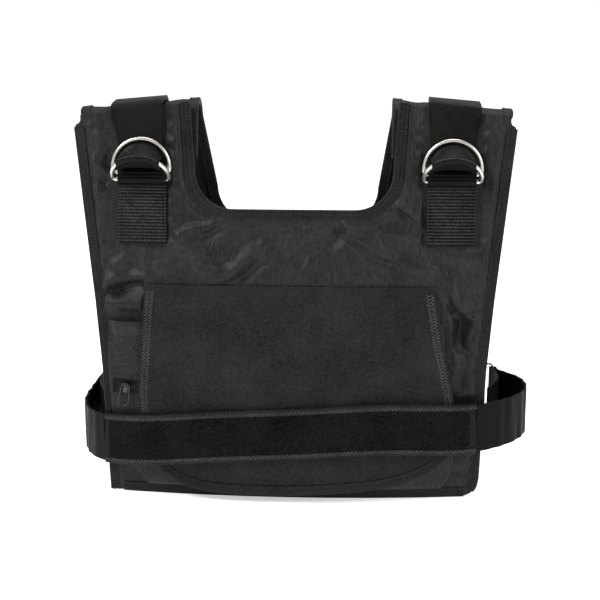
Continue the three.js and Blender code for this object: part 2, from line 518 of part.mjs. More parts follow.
/** The shoulder strap: sewn to the back, over the roll, round the lower ring, and back over itself. */
function addStrap({ name, sign, strap, ring }) {
  const { upper, lower } = ringPlaces(sign * ring);
  const lift = WEB_GAP + WEB / 2;
  const layer = WEB + WEB_GAP;
  const turn = WIRE + lift;
  const tailStops = 9;
  addWebbing(`shoulder_strap_${name}`, 1, 4, WEB, (share) => {
    const fullX = sign * strap + share * WEB_HALF;
    const mainPath = (x) => {
      const roll = rollAt(x);
      const onBack = (z) => { const p = backFace(x, z, -lift); return new THREE.Vector2(p.y, p.z); };
      const over = (turned, arch) => {
        const radius = ROLL_RADIUS + lift + arch * STRAP_ARCH;
        const angle = THREE.MathUtils.degToRad(turned);
        return new THREE.Vector2(roll.y + radius * Math.cos(angle), roll.z + radius * Math.sin(angle));
      };
      const onFront = (z) => new THREE.Vector2(frontFace(x, z) - lift, z);
      const top = shoulderEdge(x);
      return [
        onBack(STRAP_SEWN), onBack(STRAP_TAIL), ...STRAP_OVER.map(({ turned, arch }) => over(turned, arch)),
        new THREE.Vector2(frontFace(x, top) + STRAP_REST.behind, top + lift + STRAP_REST.over),
        new THREE.Vector2(frontFace(x, top) - STRAP_REST.front, top + STRAP_REST.high),
        onFront(top - STRAP_DOWN.edge), onFront(lerp(top, upper.tip.y, STRAP_DOWN.share)),
        onFront(upper.tip.y - STRAP_DOWN.tip), onFront(upper.tip.y - STRAP_DOWN.end),
      ];
    };
    const main = mainPath(fullX);
    const normals = pathNormals(main);
    const tail = main.map((p, k) => p.clone().addScaledVector(normals[k], -layer)).slice(1, tailStops + 2).reverse();
    const sag = BAR_LOW + BAR_STEP + turn + WEB_GAP + WEB + 1;
    const slack = [
      new THREE.Vector2(upper.tip.x + STRAP_SAG.back, sag + STRAP_SAG.low),
      new THREE.Vector2(upper.tip.x - STRAP_SAG.front, sag),
      new THREE.Vector2(lerp(upper.tip.x, lower.tip.x, 0.6), sag + STRAP_SAG.back),
    ];
    const fold = arcPath(lower.tip, turn + RING_CLEAR / 4, -50, -280, 6);
    const bridge = [
      new THREE.Vector2(lerp(upper.tip.x, lower.tip.x, 0.4), upper.tip.y - turn - 2.6),
      ...arcPath(upper.tip, turn + RING_CLEAR, -100, -5, 3),
    ];
    const path = [...main, ...slack, ...fold, ...bridge, ...tail];
    const facing = pathNormals(path);
    const [foldFrom, bridgeFrom] = [main.length + slack.length, main.length + slack.length + fold.length];
    const tailFrom = bridgeFrom + bridge.length;
    return path.map((p, k) => {
      const away = k < main.length ? main.length - 1 - k : k - tailFrom + 1;
      const gathered = clamp(1 - away / GATHER_STOPS, 0, 1);
      const x = lerp(fullX, sign * ring + share * FOLD_HALF, gathered);
      const point = vec(x, p.x, p.y);
      const place = k < bridgeFrom ? lower : upper;
      const up = new THREE.Vector2(-Math.sin(place.angle), Math.cos(place.angle));
      let wraps = k >= foldFrom && k < tailFrom ? 1 : 0;
      if (k === foldFrom - 1) wraps = 0.4;
      if (k >= tailFrom) {
        wraps = gathered;
        up.set(-facing[k].y, facing[k].x).multiplyScalar(-Math.sign(facing[k].x));
      }
      const outside = clamp(p.clone().sub(place.tip).dot(up), -turn - RING_CLEAR, turn);
      const fall = wraps * archFall(share * FOLD_HALF, outside);
      point.add(vec(0, -up.x, -up.y).multiplyScalar(fall));
      return { point, normal: vec(0, facing[k].x, facing[k].y) };
    });
  });
}

/** How far the flap's inner face stands off the panel. */
function bulge(x, z) {
  const across = BULGE - BULGE_FALL * Math.abs(x / FLAP_HALF) ** 3;
  return Math.max(across * readTable(STAND, 'height', z / SEAM, 'out'), SEAT_GAP);
}

const pouchDepth = (x, z) => Math.max(bulge(x, z) - POUCH_CLEAR - POUCH_SEAT, POUCH_WALL);

/** A point of the pouch, with its walls drawn in by a distance. */
function pouchPoint(column, row, inset) {
  const { across, out } = POUCH_COLUMNS[column];
  const rise = POUCH_ROWS[row];
  const z = lerp(POUCH_LOW + inset, POUCH_MOUTH, rise.up);
  const left = POUCH_HALF * readTable(POUCH_SIDES, 'height', z / POUCH_MOUTH, 'left') + inset;
  const right = POUCH_HALF * readTable(POUCH_SIDES, 'height', z / POUCH_MOUTH, 'right') - inset;
  const x = lerp(left, right, across);
  const depth = pouchDepth(x, z);
  const stand = Math.max(depth * Math.min(out, rise.out) - inset, 0) + POUCH_SEAT;
  return vec(x, frontFace(x, z) - stand, z);
}

/** The pouch's outer face at a place, found between its grid's points. */
function pouchFace(x, z) {
  const left = POUCH_HALF * readTable(POUCH_SIDES, 'height', z / POUCH_MOUTH, 'left');
  const right = POUCH_HALF * readTable(POUCH_SIDES, 'height', z / POUCH_MOUTH, 'right');
  const out = readTable(POUCH_COLUMNS, 'across', (x - left) / (right - left), 'out');
  return frontFace(x, z) - pouchDepth(x, z) * out - POUCH_SEAT;
}

/** A strip lying on the pouch, a gap in front of it, with corners over the pouch's own. */
function addOnPouch(name, material, box, rows) {
  const middle = (box.low + box.high) / 2 / POUCH_MOUTH;
  const [left, right] = ['left', 'right'].map((side) => POUCH_HALF * readTable(POUCH_SIDES, 'height', middle, side));
  const corners = POUCH_COLUMNS.map(({ across }) => lerp(left, right, across));
  const places = [box.left, ...corners.filter((x) => x > box.left + 1 && x < box.right - 1), box.right];
  addSheet(name, material, places.length - 1, rows, (column, row, face) => {
    const x = places[column];
    const z = lerp(box.low, box.high, row / rows);
    return vec(x, pouchFace(x, z) - SEAT_GAP - (face ? box.thick : 0), z);
  });
}

/** The pouch, its patch of pile, and its zip with the slider and pull. */
function addPouch() {
  const rows = POUCH_ROWS.length - 1;
  addSheet('pocket_pouch', NYLON, POUCH_COLUMNS.length - 1, rows, (column, row, face) => (
    pouchPoint(column, row, face ? POUCH_WALL : 0)));
  addOnPouch('pile_patch', HOOK_PILE, PATCH, 4);
  const tape = { ...ZIP, low: ZIP.height - ZIP.half, high: ZIP.height + ZIP.half };
  addOnPouch('zip_tape', WEBBING, tape, 2);
  const seat = pouchFace(SLIDER.x, ZIP.height) - 2 * SEAT_GAP - ZIP.thick - SEAT_GAP;
  const slider = new THREE.Group();
  slider.position.set(SLIDER.x, seat, ZIP.height);
  slider.rotation.y = SLIDER.turn;
  vest.add(slider);
  const half = SLIDER.long / 2;
  const profile = new THREE.Shape();
  profile.moveTo(0, -half);
  profile.lineTo(SLIDER.thick, -half);
  profile.lineTo(SLIDER.thick, half - 2 * SLIDER.lug);
  profile.absarc(SLIDER.thick + SLIDER.lug / 2, half - SLIDER.lug, SLIDER.lug, -Math.PI / 2, Math.PI / 2);
  profile.lineTo(0, half);
  const eye = new THREE.Path();
  eye.absarc(SLIDER.thick + SLIDER.lug / 2, half - SLIDER.lug, SLIDER.hole, 0, Math.PI * 2, true);
  profile.holes.push(eye);
  const body = new THREE.ExtrudeGeometry(profile, { depth: SLIDER.width, bevelEnabled: false, curveSegments: 8 });
  body.translate(0, 0, -SLIDER.width / 2);
  body.applyMatrix4(new THREE.Matrix4().makeBasis(vec(0, -1, 0), vec(0, 0, 1), vec(-1, 0, 0)));
  slider.add(addSolid('zip_slider', BLACK_METAL, body));
  const [low, wide] = [-(PULL.length - PULL.round), PULL.round];
  const loop = new THREE.CatmullRomCurve3([
    vec(-PULL.top * 0.5, 0, 0), vec(PULL.top * 0.5, 0, 0), vec(PULL.top, 0, -PULL.wire),
    vec(lerp(PULL.top, wide, 0.6), 0, low / 2), vec(wide, 0, low), vec(wide * 0.7, 0, low - wide * 0.7),
    vec(0, 0, low - wide), vec(-wide * 0.7, 0, low - wide * 0.7), vec(-wide, 0, low),
    vec(-lerp(PULL.top, wide, 0.6), 0, low / 2), vec(-PULL.top, 0, -PULL.wire),
  ], true);
  const pull = addSolid('zip_pull', BLACK_METAL, new THREE.TubeGeometry(loop, 22, PULL.wire, 5, true));
  pull.position.set(0, -(SLIDER.thick + SLIDER.lug / 2), half - SLIDER.lug);
  slider.add(pull);
}

/** The flap over the pouch and the tape round its free edges. */
function addFlap() {
  const [columns, rows] = [FLAP_COLUMNS.length - 1, FLAP_ROWS.length - 1];
  const spot = (column, row) => {
    const across = FLAP_COLUMNS[column];
    const z = SEAM * lerp(1, FLAP_BOTTOM[column], FLAP_ROWS[row]);
    const left = FLAP_HALF * readTable(FLAP_SIDES, 'height', z / SEAM, 'left');
    const right = FLAP_HALF * readTable(FLAP_SIDES, 'height', z / SEAM, 'right');
    const x = lerp(left, right, across);
    return vec(x, frontFace(x, z) - bulge(x, z) - FLAP / 2, z);
  };
  addSheet('pocket_flap', NYLON, columns, rows, (column, row, face) => (
    spot(column, row).add(vec(0, FLAP * (0.5 - face), 0))));
  const stop = (edge, tip) => ({ edge, tip, normal: vec(0, -1, 0) });
  const stops = [];
  for (let row = 1; row < rows; row++) stops.push(stop(spot(0, row), spot(1, row)));
  for (let column = 0; column <= columns; column++) {
    stops.push(stop(spot(column, rows), spot(clamp(column, 1, columns - 1), rows - 1)));
  }
  for (let row = rows - 1; row > 0; row--) stops.push(stop(spot(columns, row), spot(columns - 1, row)));
  addTape('flap_binding', stops, FLAP / 2);
}

/** The belt's inner face at a place. */
function beltFace(x, z) {
  const middle = readTable(BELT_LINE, 'x', x / BELT_EDGE, 'height');
  const lean = frontFace(0, z) - frontFace(0, middle);
  return -BELT_OUT + BELT_DRAW * Math.abs(x / BELT_EDGE) ** BELT_POWER + lean;
}

/** The belt across the front: a band with a strip of pile and taped edges. */
function addBelt() {
  const line = (share) => readTable(BELT_LINE, 'x', share, 'height');
  const spot = (share, aside, out) => {
    const z = line(share) + aside;
    return vec(share * BELT_EDGE, beltFace(share * BELT_EDGE, z) - out, z);
  };
  const columns = BELT_COLUMNS.length - 1;
  addSheet('belt_band', WEBBING, columns, 2, (column, row, face) => (
    spot(BELT_COLUMNS[column], (row - 1) * BELT_HALF, face * BELT)));
  const pile = BELT_COLUMNS.slice(1, -1);
  addSheet('belt_pile', HOOK_PILE, pile.length - 1, 1, (column, row, face) => {
    const half = column === pile.length - 1 ? PILE_HALF * 0.8 : PILE_HALF;
    return spot(pile[column], (2 * row - 1) * half, BELT + TAPE_CLEAR + face * PILE);
  });
  for (const [name, side] of [['top', 1], ['bottom', -1]]) {
    addTape(`belt_binding_${name}`, BELT_COLUMNS.map((share) => ({
      edge: spot(share, side * BELT_HALF, BELT / 2),
      tip: spot(share, side * (BELT_HALF - BELT_TAPE_LEG), BELT / 2),
      normal: vec(0, -1, 0),
    })), BELT / 2);
  }
}

/** Where a back ring stands: its two upright bars, in x and y, on the right-hand side. */
function backRing({ ringHeight }) {
  const edge = lerp(BACK_HEM_HALF, BACK_TOP_HALF, ringHeight / rollAt(BACK_TOP_HALF).backZ);
  const turn = BACK_RING.wire + WEB_GAP + WEB / 2;
  const lean = (z) => backFace(edge - TAPE_LEG, z).y - backFace(edge - TAPE_LEG, ringHeight).y;
  const seat = backFace(edge - TAPE_LEG, ringHeight).y + TAPE_RIM + turn + WEB_GAP;
  const inner = new THREE.Vector2(edge + BACK_RING.wire + BACK_RING.clear, seat);
  return { turn, lean, inner, outer: new THREE.Vector2(inner.x + BACK_RING.reach, seat) };
}

/** A side of the belt: the loop of webbing, the wire ring at the back edge and the tab that holds it. */
function addBeltSide(side) {
  const { name, sign, reach, ringHeight, rise } = side;
  const { turn, lean, inner, outer } = backRing(side);
  const upright = (path, heightAt, leanAt) => {
    const normals = pathNormals(path);
    return path.map((p, k) => ({
      point: vec(sign * p.x, p.y + leanAt(k) * lean(heightAt(k)), heightAt(k)),
      normal: vec(sign * normals[k].x, normals[k].y, 0),
    }));
  };
  const startShare = sign > 0 ? BELT_COLUMNS[BELT_COLUMNS.length - 1] : BELT_COLUMNS[0];
  const start = Math.abs(startShare) * BELT_EDGE + BELT_BUTT;
  const startZ = readTable(BELT_LINE, 'x', startShare, 'height');
  const startY = beltFace(startShare * BELT_EDGE, startZ) - BELT / 2;
  const ringTurn = BACK_RING.wire + WEB_GAP + LOOP_WEB / 2;
  const wrap = arcPath(outer, ringTurn, 10, 215, 7);
  const guides = [
    ...SIDE_LOOP.map(({ out, back }) => [lerp(start, reach, out), startY + back]),
    [outer.x + ringTurn + LOOP_END.out, outer.y - LOOP_END.short], [wrap[0].x, wrap[0].y],
  ];
  const curve = new THREE.CatmullRomCurve3(guides.map(([x, y]) => vec(x, y, 0)));
  const out = curve.getSpacedPoints(13).slice(0, -1).map((p) => new THREE.Vector2(p.x, p.y));
  const end = wrap[wrap.length - 1];
  const path = [...out, ...wrap, new THREE.Vector2(end.x + LOOP_END.tail, end.y - LOOP_END.tailLong)];
  addWebbing(`belt_side_${name}`, 1, 2, LOOP_WEB, (aside) => {
    const share = (k) => Math.min(k / out.length, 1);
    const middle = (k) => lerp(startZ, ringHeight, share(k)) + rise * Math.sin(Math.PI * share(k));
    const height = (k) => middle(k) + aside * lerp(BELT_HALF, BACK_TAB_HALF, share(k));
    return upright(path, height, (k) => share(k) ** 2);
  });
  const [tall, { round }] = [BACK_RING.tall / 2, BACK_RING];
  const wire = new THREE.Path();
  wire.moveTo(0, -tall + round);
  wire.absarc(round, tall - round, round, Math.PI, Math.PI / 2, true);
  wire.absarc(BACK_RING.reach - round, tall - round, round, Math.PI / 2, 0, true);
  wire.absarc(BACK_RING.reach - round, -tall + round, round, 0, -Math.PI / 2, true);
  wire.absarc(round, -tall + round, round, -Math.PI / 2, -Math.PI, true);
  class BackRingCurve extends THREE.Curve {
    getPoint(t, target = new THREE.Vector3()) {
      const p = wire.getPointAt(t % 1);
      return target.set(sign * (inner.x + p.x), inner.y + lean(ringHeight + p.y), ringHeight + p.y);
    }
  }
  addSolid(`back_ring_${name}`, NICKEL, new THREE.TubeGeometry(new BackRingCurve(), 30, BACK_RING.wire, 5, true));
  const seat = (x, layer) => new THREE.Vector2(
    x, backFace(x, ringHeight).y + TAPE_RIM + WEB_GAP + WEB / 2 + layer * (WEB + WEB_GAP));
  const sewn = [inner.x - BACK_TAB_FREE - BACK_TAB_SEWN, inner.x - BACK_TAB_FREE];
  const tabPath = [
    seat(sewn[0], 0), seat(sewn[1], 0), ...arcPath(inner, turn, 260, 460, 8), seat(sewn[1], 1), seat(sewn[0], 1),
  ];
  addWebbing(`back_ring_tab_${name}`, BACK_TAB_HALF, 2, WEB, (aside) => (
    upright(tabPath, () => ringHeight + aside, () => 1)));
}

addFront();
addBack();
for (const side of SIDES) {
  addRings(side);
  addStrap(side);
}
addPouch();
addFlap();
addBelt();
for (const side of SIDES) addBeltSide(side);

// The origin is on the floor, at the middle of the vest's box
const box = new THREE.Box3().setFromObject(vest);
const centre = box.getCenter(new THREE.Vector3());
vest.position.set(-centre.x, -centre.y, -box.min.z);
vest.updateMatrixWorld(true);

export default vest;
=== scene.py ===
"""A black nylon weighted vest, standing on its hem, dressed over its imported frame.

Every sub-assembly is a class that holds its sizes in millimetres, in the vest's own frame: +Z up, the front
faces -Y. Meshes are laid by those sizes and written in metres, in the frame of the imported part.
"""

import logging
import math
from collections.abc import Callable, Sequence
from dataclasses import dataclass, field
from enum import Enum
from typing import Any

import bpy
import numpy as np
from mathutils import Matrix, Vector

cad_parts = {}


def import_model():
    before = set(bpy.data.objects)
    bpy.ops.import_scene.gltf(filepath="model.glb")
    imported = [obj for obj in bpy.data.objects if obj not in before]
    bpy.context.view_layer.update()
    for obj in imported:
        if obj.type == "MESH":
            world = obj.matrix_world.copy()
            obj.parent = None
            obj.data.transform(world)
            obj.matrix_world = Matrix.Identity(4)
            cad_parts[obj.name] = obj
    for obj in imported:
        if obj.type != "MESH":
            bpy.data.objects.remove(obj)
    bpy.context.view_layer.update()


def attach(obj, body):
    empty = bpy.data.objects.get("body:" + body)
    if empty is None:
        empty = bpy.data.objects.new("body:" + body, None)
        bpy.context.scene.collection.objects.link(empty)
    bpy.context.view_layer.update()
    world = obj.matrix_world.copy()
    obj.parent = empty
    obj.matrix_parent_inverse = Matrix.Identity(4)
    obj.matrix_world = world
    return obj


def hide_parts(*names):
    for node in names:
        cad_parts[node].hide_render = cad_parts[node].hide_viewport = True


MM = 0.001
ORIGIN = np.array([-8.484, 10.423, 0.0])  # the vest's own middle, in the part's frame, in millimetres
BODY = "vest"

FORWARD = (0.0, -1.0, 0.0)
BACKWARD = (0.0, 1.0, 0.0)

Points = np.ndarray
Surface = Callable[[Points, Points], Points]
log = logging.getLogger("vest")


def smooth(at: Points, places: Sequence[float], values: Sequence[float]) -> Points:
    """Reads a table along a smooth curve through its values.

    Args:
        at: Where to read it.
        places: The table's places, rising.
        values: The value at each place.

    Returns:
        The values read.
    """
    x, y = np.asarray(places, float), np.asarray(values, float)
    slope = np.gradient(y, x)
    at = np.clip(at, x[0], x[-1])
    k = np.clip(np.searchsorted(x, at) - 1, 0, len(x) - 2)
    step = x[k + 1] - x[k]
    t = (at - x[k]) / step
    near = (2 * t**3 - 3 * t**2 + 1) * y[k] + (t**3 - 2 * t**2 + t) * step * slope[k]
    return near + (3 * t**2 - 2 * t**3) * y[k + 1] + (t**3 - t**2) * step * slope[k + 1]


def run_along(path: Points) -> Points:
    """Gives the distance along a path at each of its points."""
    return np.concatenate([[0], np.cumsum(np.linalg.norm(np.diff(path, axis=0), axis=1))])


def spaced(path: Points, count: int) -> Points:
    """Gives a number of evenly spaced points along a path, from its start to its end."""
    run = run_along(path)
    even = np.linspace(0, run[-1], count)
    return np.stack([np.interp(even, run, path[:, k]) for k in range(path.shape[1])], 1)


def along(path: Points, spacing: float) -> Points:
    """Runs a smooth line through the points of a path, with evenly spaced points.

    Args:
        path: The points, one per row.
        spacing: The distance between the new points.

    Returns:
        The new points.
    """
    marks = np.arange(len(path))
    fine = np.linspace(0, len(path) - 1, 12 * len(path))
    dense = np.stack([smooth(fine, marks, path[:, k]) for k in range(path.shape[1])], 1)
    return spaced(dense, max(2, round(run_along(dense)[-1] / spacing) + 1))


def unit(rows: Points) -> Points:
    """Scales each row to length 1."""
    return rows / np.maximum(np.linalg.norm(rows, axis=-1, keepdims=True), 1e-9)


def ramp(value: Points, low: float, high: float) -> Points:
    """Rises smoothly from 0 at low to 1 at high."""
    t = np.clip((value - low) / (high - low), 0, 1)
    return t * t * (3 - 2 * t)


def ripples(x: Points, z: Points, size: float, seed: int, waves: int = 9) -> Points:
    """Adds up a few seeded waves into a soft, uneven surface.

    Args:
        x: Places across.
        z: Places up.
        size: The length of the waves.
        seed: The seed of their directions.
        waves: How many are added.

    Returns:
        Heights of about -1 to 1.
    """
    rng = np.random.default_rng(seed)
    total = np.zeros_like(x, dtype=float)
    for _ in range(waves):
        angle, length = rng.uniform(0, math.pi), size * rng.uniform(0.6, 1.8)
        phase = rng.uniform(0, 2 * math.pi)
        total += np.sin(2 * math.pi * (x * math.cos(angle) + z * math.sin(angle)) / length + phase)
    return total / math.sqrt(waves)


class Bench:
    """The modelling tools: primitives are laid, shaped and finished here."""

    @staticmethod
    def pick(piece: bpy.types.Object) -> None:
        """Selects one piece alone and makes it the active one."""
        bpy.ops.object.select_all(action="DESELECT")
        piece.select_set(True)
        bpy.context.view_layer.objects.active = piece

    @staticmethod
    def points(piece: bpy.types.Object) -> Points:
        """Reads a piece's corners, one per row."""
        flat = np.empty(len(piece.data.vertices) * 3)
        piece.data.vertices.foreach_get("co", flat)
        return flat.reshape(-1, 3)

    @staticmethod
    def place(piece: bpy.types.Object, corners: Points) -> None:
        """Moves a piece's corners to places in metres."""
        piece.data.vertices.foreach_set("co", np.ascontiguousarray(corners, float).ravel())
        piece.data.update()

    @staticmethod
    def to_part(local: Points) -> Points:
        """Turns millimetres in the vest's own frame into metres in the part's."""
        return (local + ORIGIN) * MM

    @classmethod
    def grid(
        cls, name: str, columns: int, rows: int, surface: Surface, flat: tuple[float, float]
    ) -> bpy.types.Object:
        """Lays a grid primitive over a surface, with a UV map in metres.

        Args:
            name: The piece's name.
            columns: Cells along.
            rows: Cells across.
            surface: Gives millimetres for shares along and across.
            flat: The cloth's length along and across, in millimetres.

        Returns:
            The grid.
        """
        bpy.ops.object.select_all(action="DESELECT")
        bpy.ops.mesh.primitive_grid_add(x_subdivisions=columns, y_subdivisions=rows, size=2, calc_uvs=True)
        piece = bpy.context.active_object
        piece.name = piece.data.name = name
        shares = (cls.points(piece)[:, :2] + 1) / 2
        cls.place(piece, cls.to_part(surface(shares[:, 0], shares[:, 1])))
        cls.map_cloth(piece, shares * np.array(flat) * MM)
        return piece

    @staticmethod
    def map_cloth(piece: bpy.types.Object, places: Points) -> None:
        """Gives each corner of a piece its place on the flat cloth, in metres."""
        corner = np.empty(len(piece.data.loops), int)
        piece.data.loops.foreach_get("vertex_index", corner)
        piece.data.uv_layers.active.data.foreach_set("uv", places[corner].ravel())

    @classmethod
    def lay_out(cls, piece: bpy.types.Object, columns: int, rows: int) -> None:
        """Maps a laid sheet by the distances along its rows and columns."""
        laid = cls.points(piece).reshape(rows, columns, 3)
        along_rows = np.cumsum(np.linalg.norm(np.diff(laid, axis=1), axis=2), 1)
        down_columns = np.cumsum(np.linalg.norm(np.diff(laid, axis=0), axis=2), 0)
        u = np.concatenate([np.zeros((rows, 1)), along_rows], 1)
        v = np.concatenate([np.zeros((1, columns)), down_columns], 0)
        mid = u[:, columns // 2][:, None]
        cls.map_cloth(piece, np.stack([(u - mid).ravel(), v.ravel()], -1))

    @staticmethod
    def flat_size(piece: bpy.types.Object) -> tuple[float, tuple[float, float]]:
        """Measures an unthickened sheet as it lies flat: its area, and its width and length."""
        area = sum(polygon.area for polygon in piece.data.polygons)
        flat = np.empty(len(piece.data.loops) * 2)
        piece.data.uv_layers.active.data.foreach_get("uv", flat)
        low, high = flat.reshape(-1, 2).min(0), flat.reshape(-1, 2).max(0)
        return area, (float(high[0] - low[0]), float(high[1] - low[1]))

    @staticmethod
    def shares(columns: int, rows: int) -> tuple[Points, Points]:
        """The shares along and across of a laid grid's corners, in their own order."""
        t, s = np.meshgrid(np.linspace(0, 1, rows), np.linspace(0, 1, columns), indexing="ij")
        return s.ravel(), t.ravel()

    @staticmethod
    def taper(piece: bpy.types.Object, shares: Points) -> None:
        """Gives each corner its share of the full thickness."""
        group = piece.vertex_groups.new(name="taper")
        levels = np.round(shares, 2)
        for level in np.unique(levels):
            group.add(np.flatnonzero(levels == level).tolist(), float(level), "REPLACE")

    @classmethod
    def modify(cls, piece: bpy.types.Object, kind: str, **settings: Any) -> None:
        """Adds a modifier with its settings and applies it."""
        cls.pick(piece)
        modifier = piece.modifiers.new(kind.title(), kind)
        for key, value in settings.items():
            setattr(modifier, key, value)
        bpy.ops.object.modifier_apply(modifier=modifier.name)

    @classmethod
    def thicken(cls, piece: bpy.types.Object, thick: float, offset: float = 0.0, group: str = "") -> None:
        """Gives a sheet its thickness, in millimetres, and points its faces outwards."""
        cls.modify(
            piece, "SOLIDIFY", thickness=thick * MM, offset=offset, vertex_group=group,
            thickness_vertex_group=0.0, use_even_offset=False,
        )

    @classmethod
    def finish(cls, piece: bpy.types.Object, soften: int = 0, angle: float = 40.0) -> bpy.types.Object:
        """Smooths a piece's shading, with its faces outwards, after any last subdivision."""
        if soften:
            cls.modify(piece, "SUBSURF", levels=soften, render_levels=soften)
        cls.pick(piece)
        bpy.ops.object.mode_set(mode="EDIT")
        bpy.ops.mesh.select_all(action="SELECT")
        bpy.ops.mesh.normals_make_consistent(inside=False)
        bpy.ops.object.mode_set(mode="OBJECT")
        bpy.ops.object.shade_smooth_by_angle(angle=math.radians(angle))
        return piece

    @classmethod
    def join(cls, name: str, pieces: Sequence[bpy.types.Object]) -> bpy.types.Object:
        """Joins copies into one piece."""
        bpy.ops.object.select_all(action="DESELECT")
        for piece in pieces:
            piece.select_set(True)
        bpy.context.view_layer.objects.active = pieces[0]
        bpy.ops.object.join()
        pieces[0].name = pieces[0].data.name = name
        return pieces[0]

    @classmethod
    def copies(cls, name: str, model: bpy.types.Object, places: Sequence[Matrix]) -> bpy.types.Object:
        """Sets a copy of a small model at each place, and joins them.

        Args:
            name: The joined piece's name.
            model: The piece to copy, in metres at the origin. It is used up.
            places: A matrix for each copy, in the part's frame.

        Returns:
            The joined piece.
        """
        copies = []
        for matrix in places:
            mesh = model.data.copy()
            mesh.transform(matrix)
            copy = bpy.data.objects.new(name, mesh)
            bpy.context.collection.objects.link(copy)
            copies.append(copy)
        bpy.data.objects.remove(model)
        return cls.join(name, copies)

    @classmethod
    def ring(cls, name: str, path: Points, wire: float, around: int = 14) -> bpy.types.Object:
        """Bends a torus primitive along a closed path.

        Args:
            name: The piece's name.
            path: Points of the closed path, in millimetres, with the first not repeated.
            wire: The wire's radius.
            around: Faces around the wire.

        Returns:
            The ring.
        """
        bpy.ops.object.select_all(action="DESELECT")
        bpy.ops.mesh.primitive_torus_add(
            major_segments=len(path), minor_segments=around, major_radius=1.0, minor_radius=0.25
        )
        piece = bpy.context.active_object
        piece.name = piece.data.name = name
        corners = cls.points(piece)
        angle = np.arctan2(corners[:, 1], corners[:, 0])
        turn = np.round(angle / (2 * math.pi) * len(path)).astype(int) % len(path)
        out = np.hypot(corners[:, 0], corners[:, 1]) - 1
        following, before = np.roll(path, -1, 0), np.roll(path, 1, 0)
        tangent = unit(following - before)
        flat = unit(np.cross(path[len(path) // 3] - path[0], path[2 * len(path) // 3] - path[0])[None])[0]
        side = unit(np.cross(tangent, flat[None]))
        lift = np.cross(side, tangent)
        local = path[turn] + 4 * wire * (out[:, None] * side[turn] + corners[:, 2:3] * lift[turn])
        cls.place(piece, cls.to_part(local))
        return cls.finish(piece)


@dataclass(frozen=True)
class Seam:
    """An edge of cloth: its points, the way in from it over the cloth, and the way off its outer face."""

    edge: Points
    inward: Points
    off: Points

    def at(self, inward: float, off: float) -> Points:
        """Gives a line beside the seam, in and off by millimetres."""
        return self.edge + inward * self.inward + off * self.off


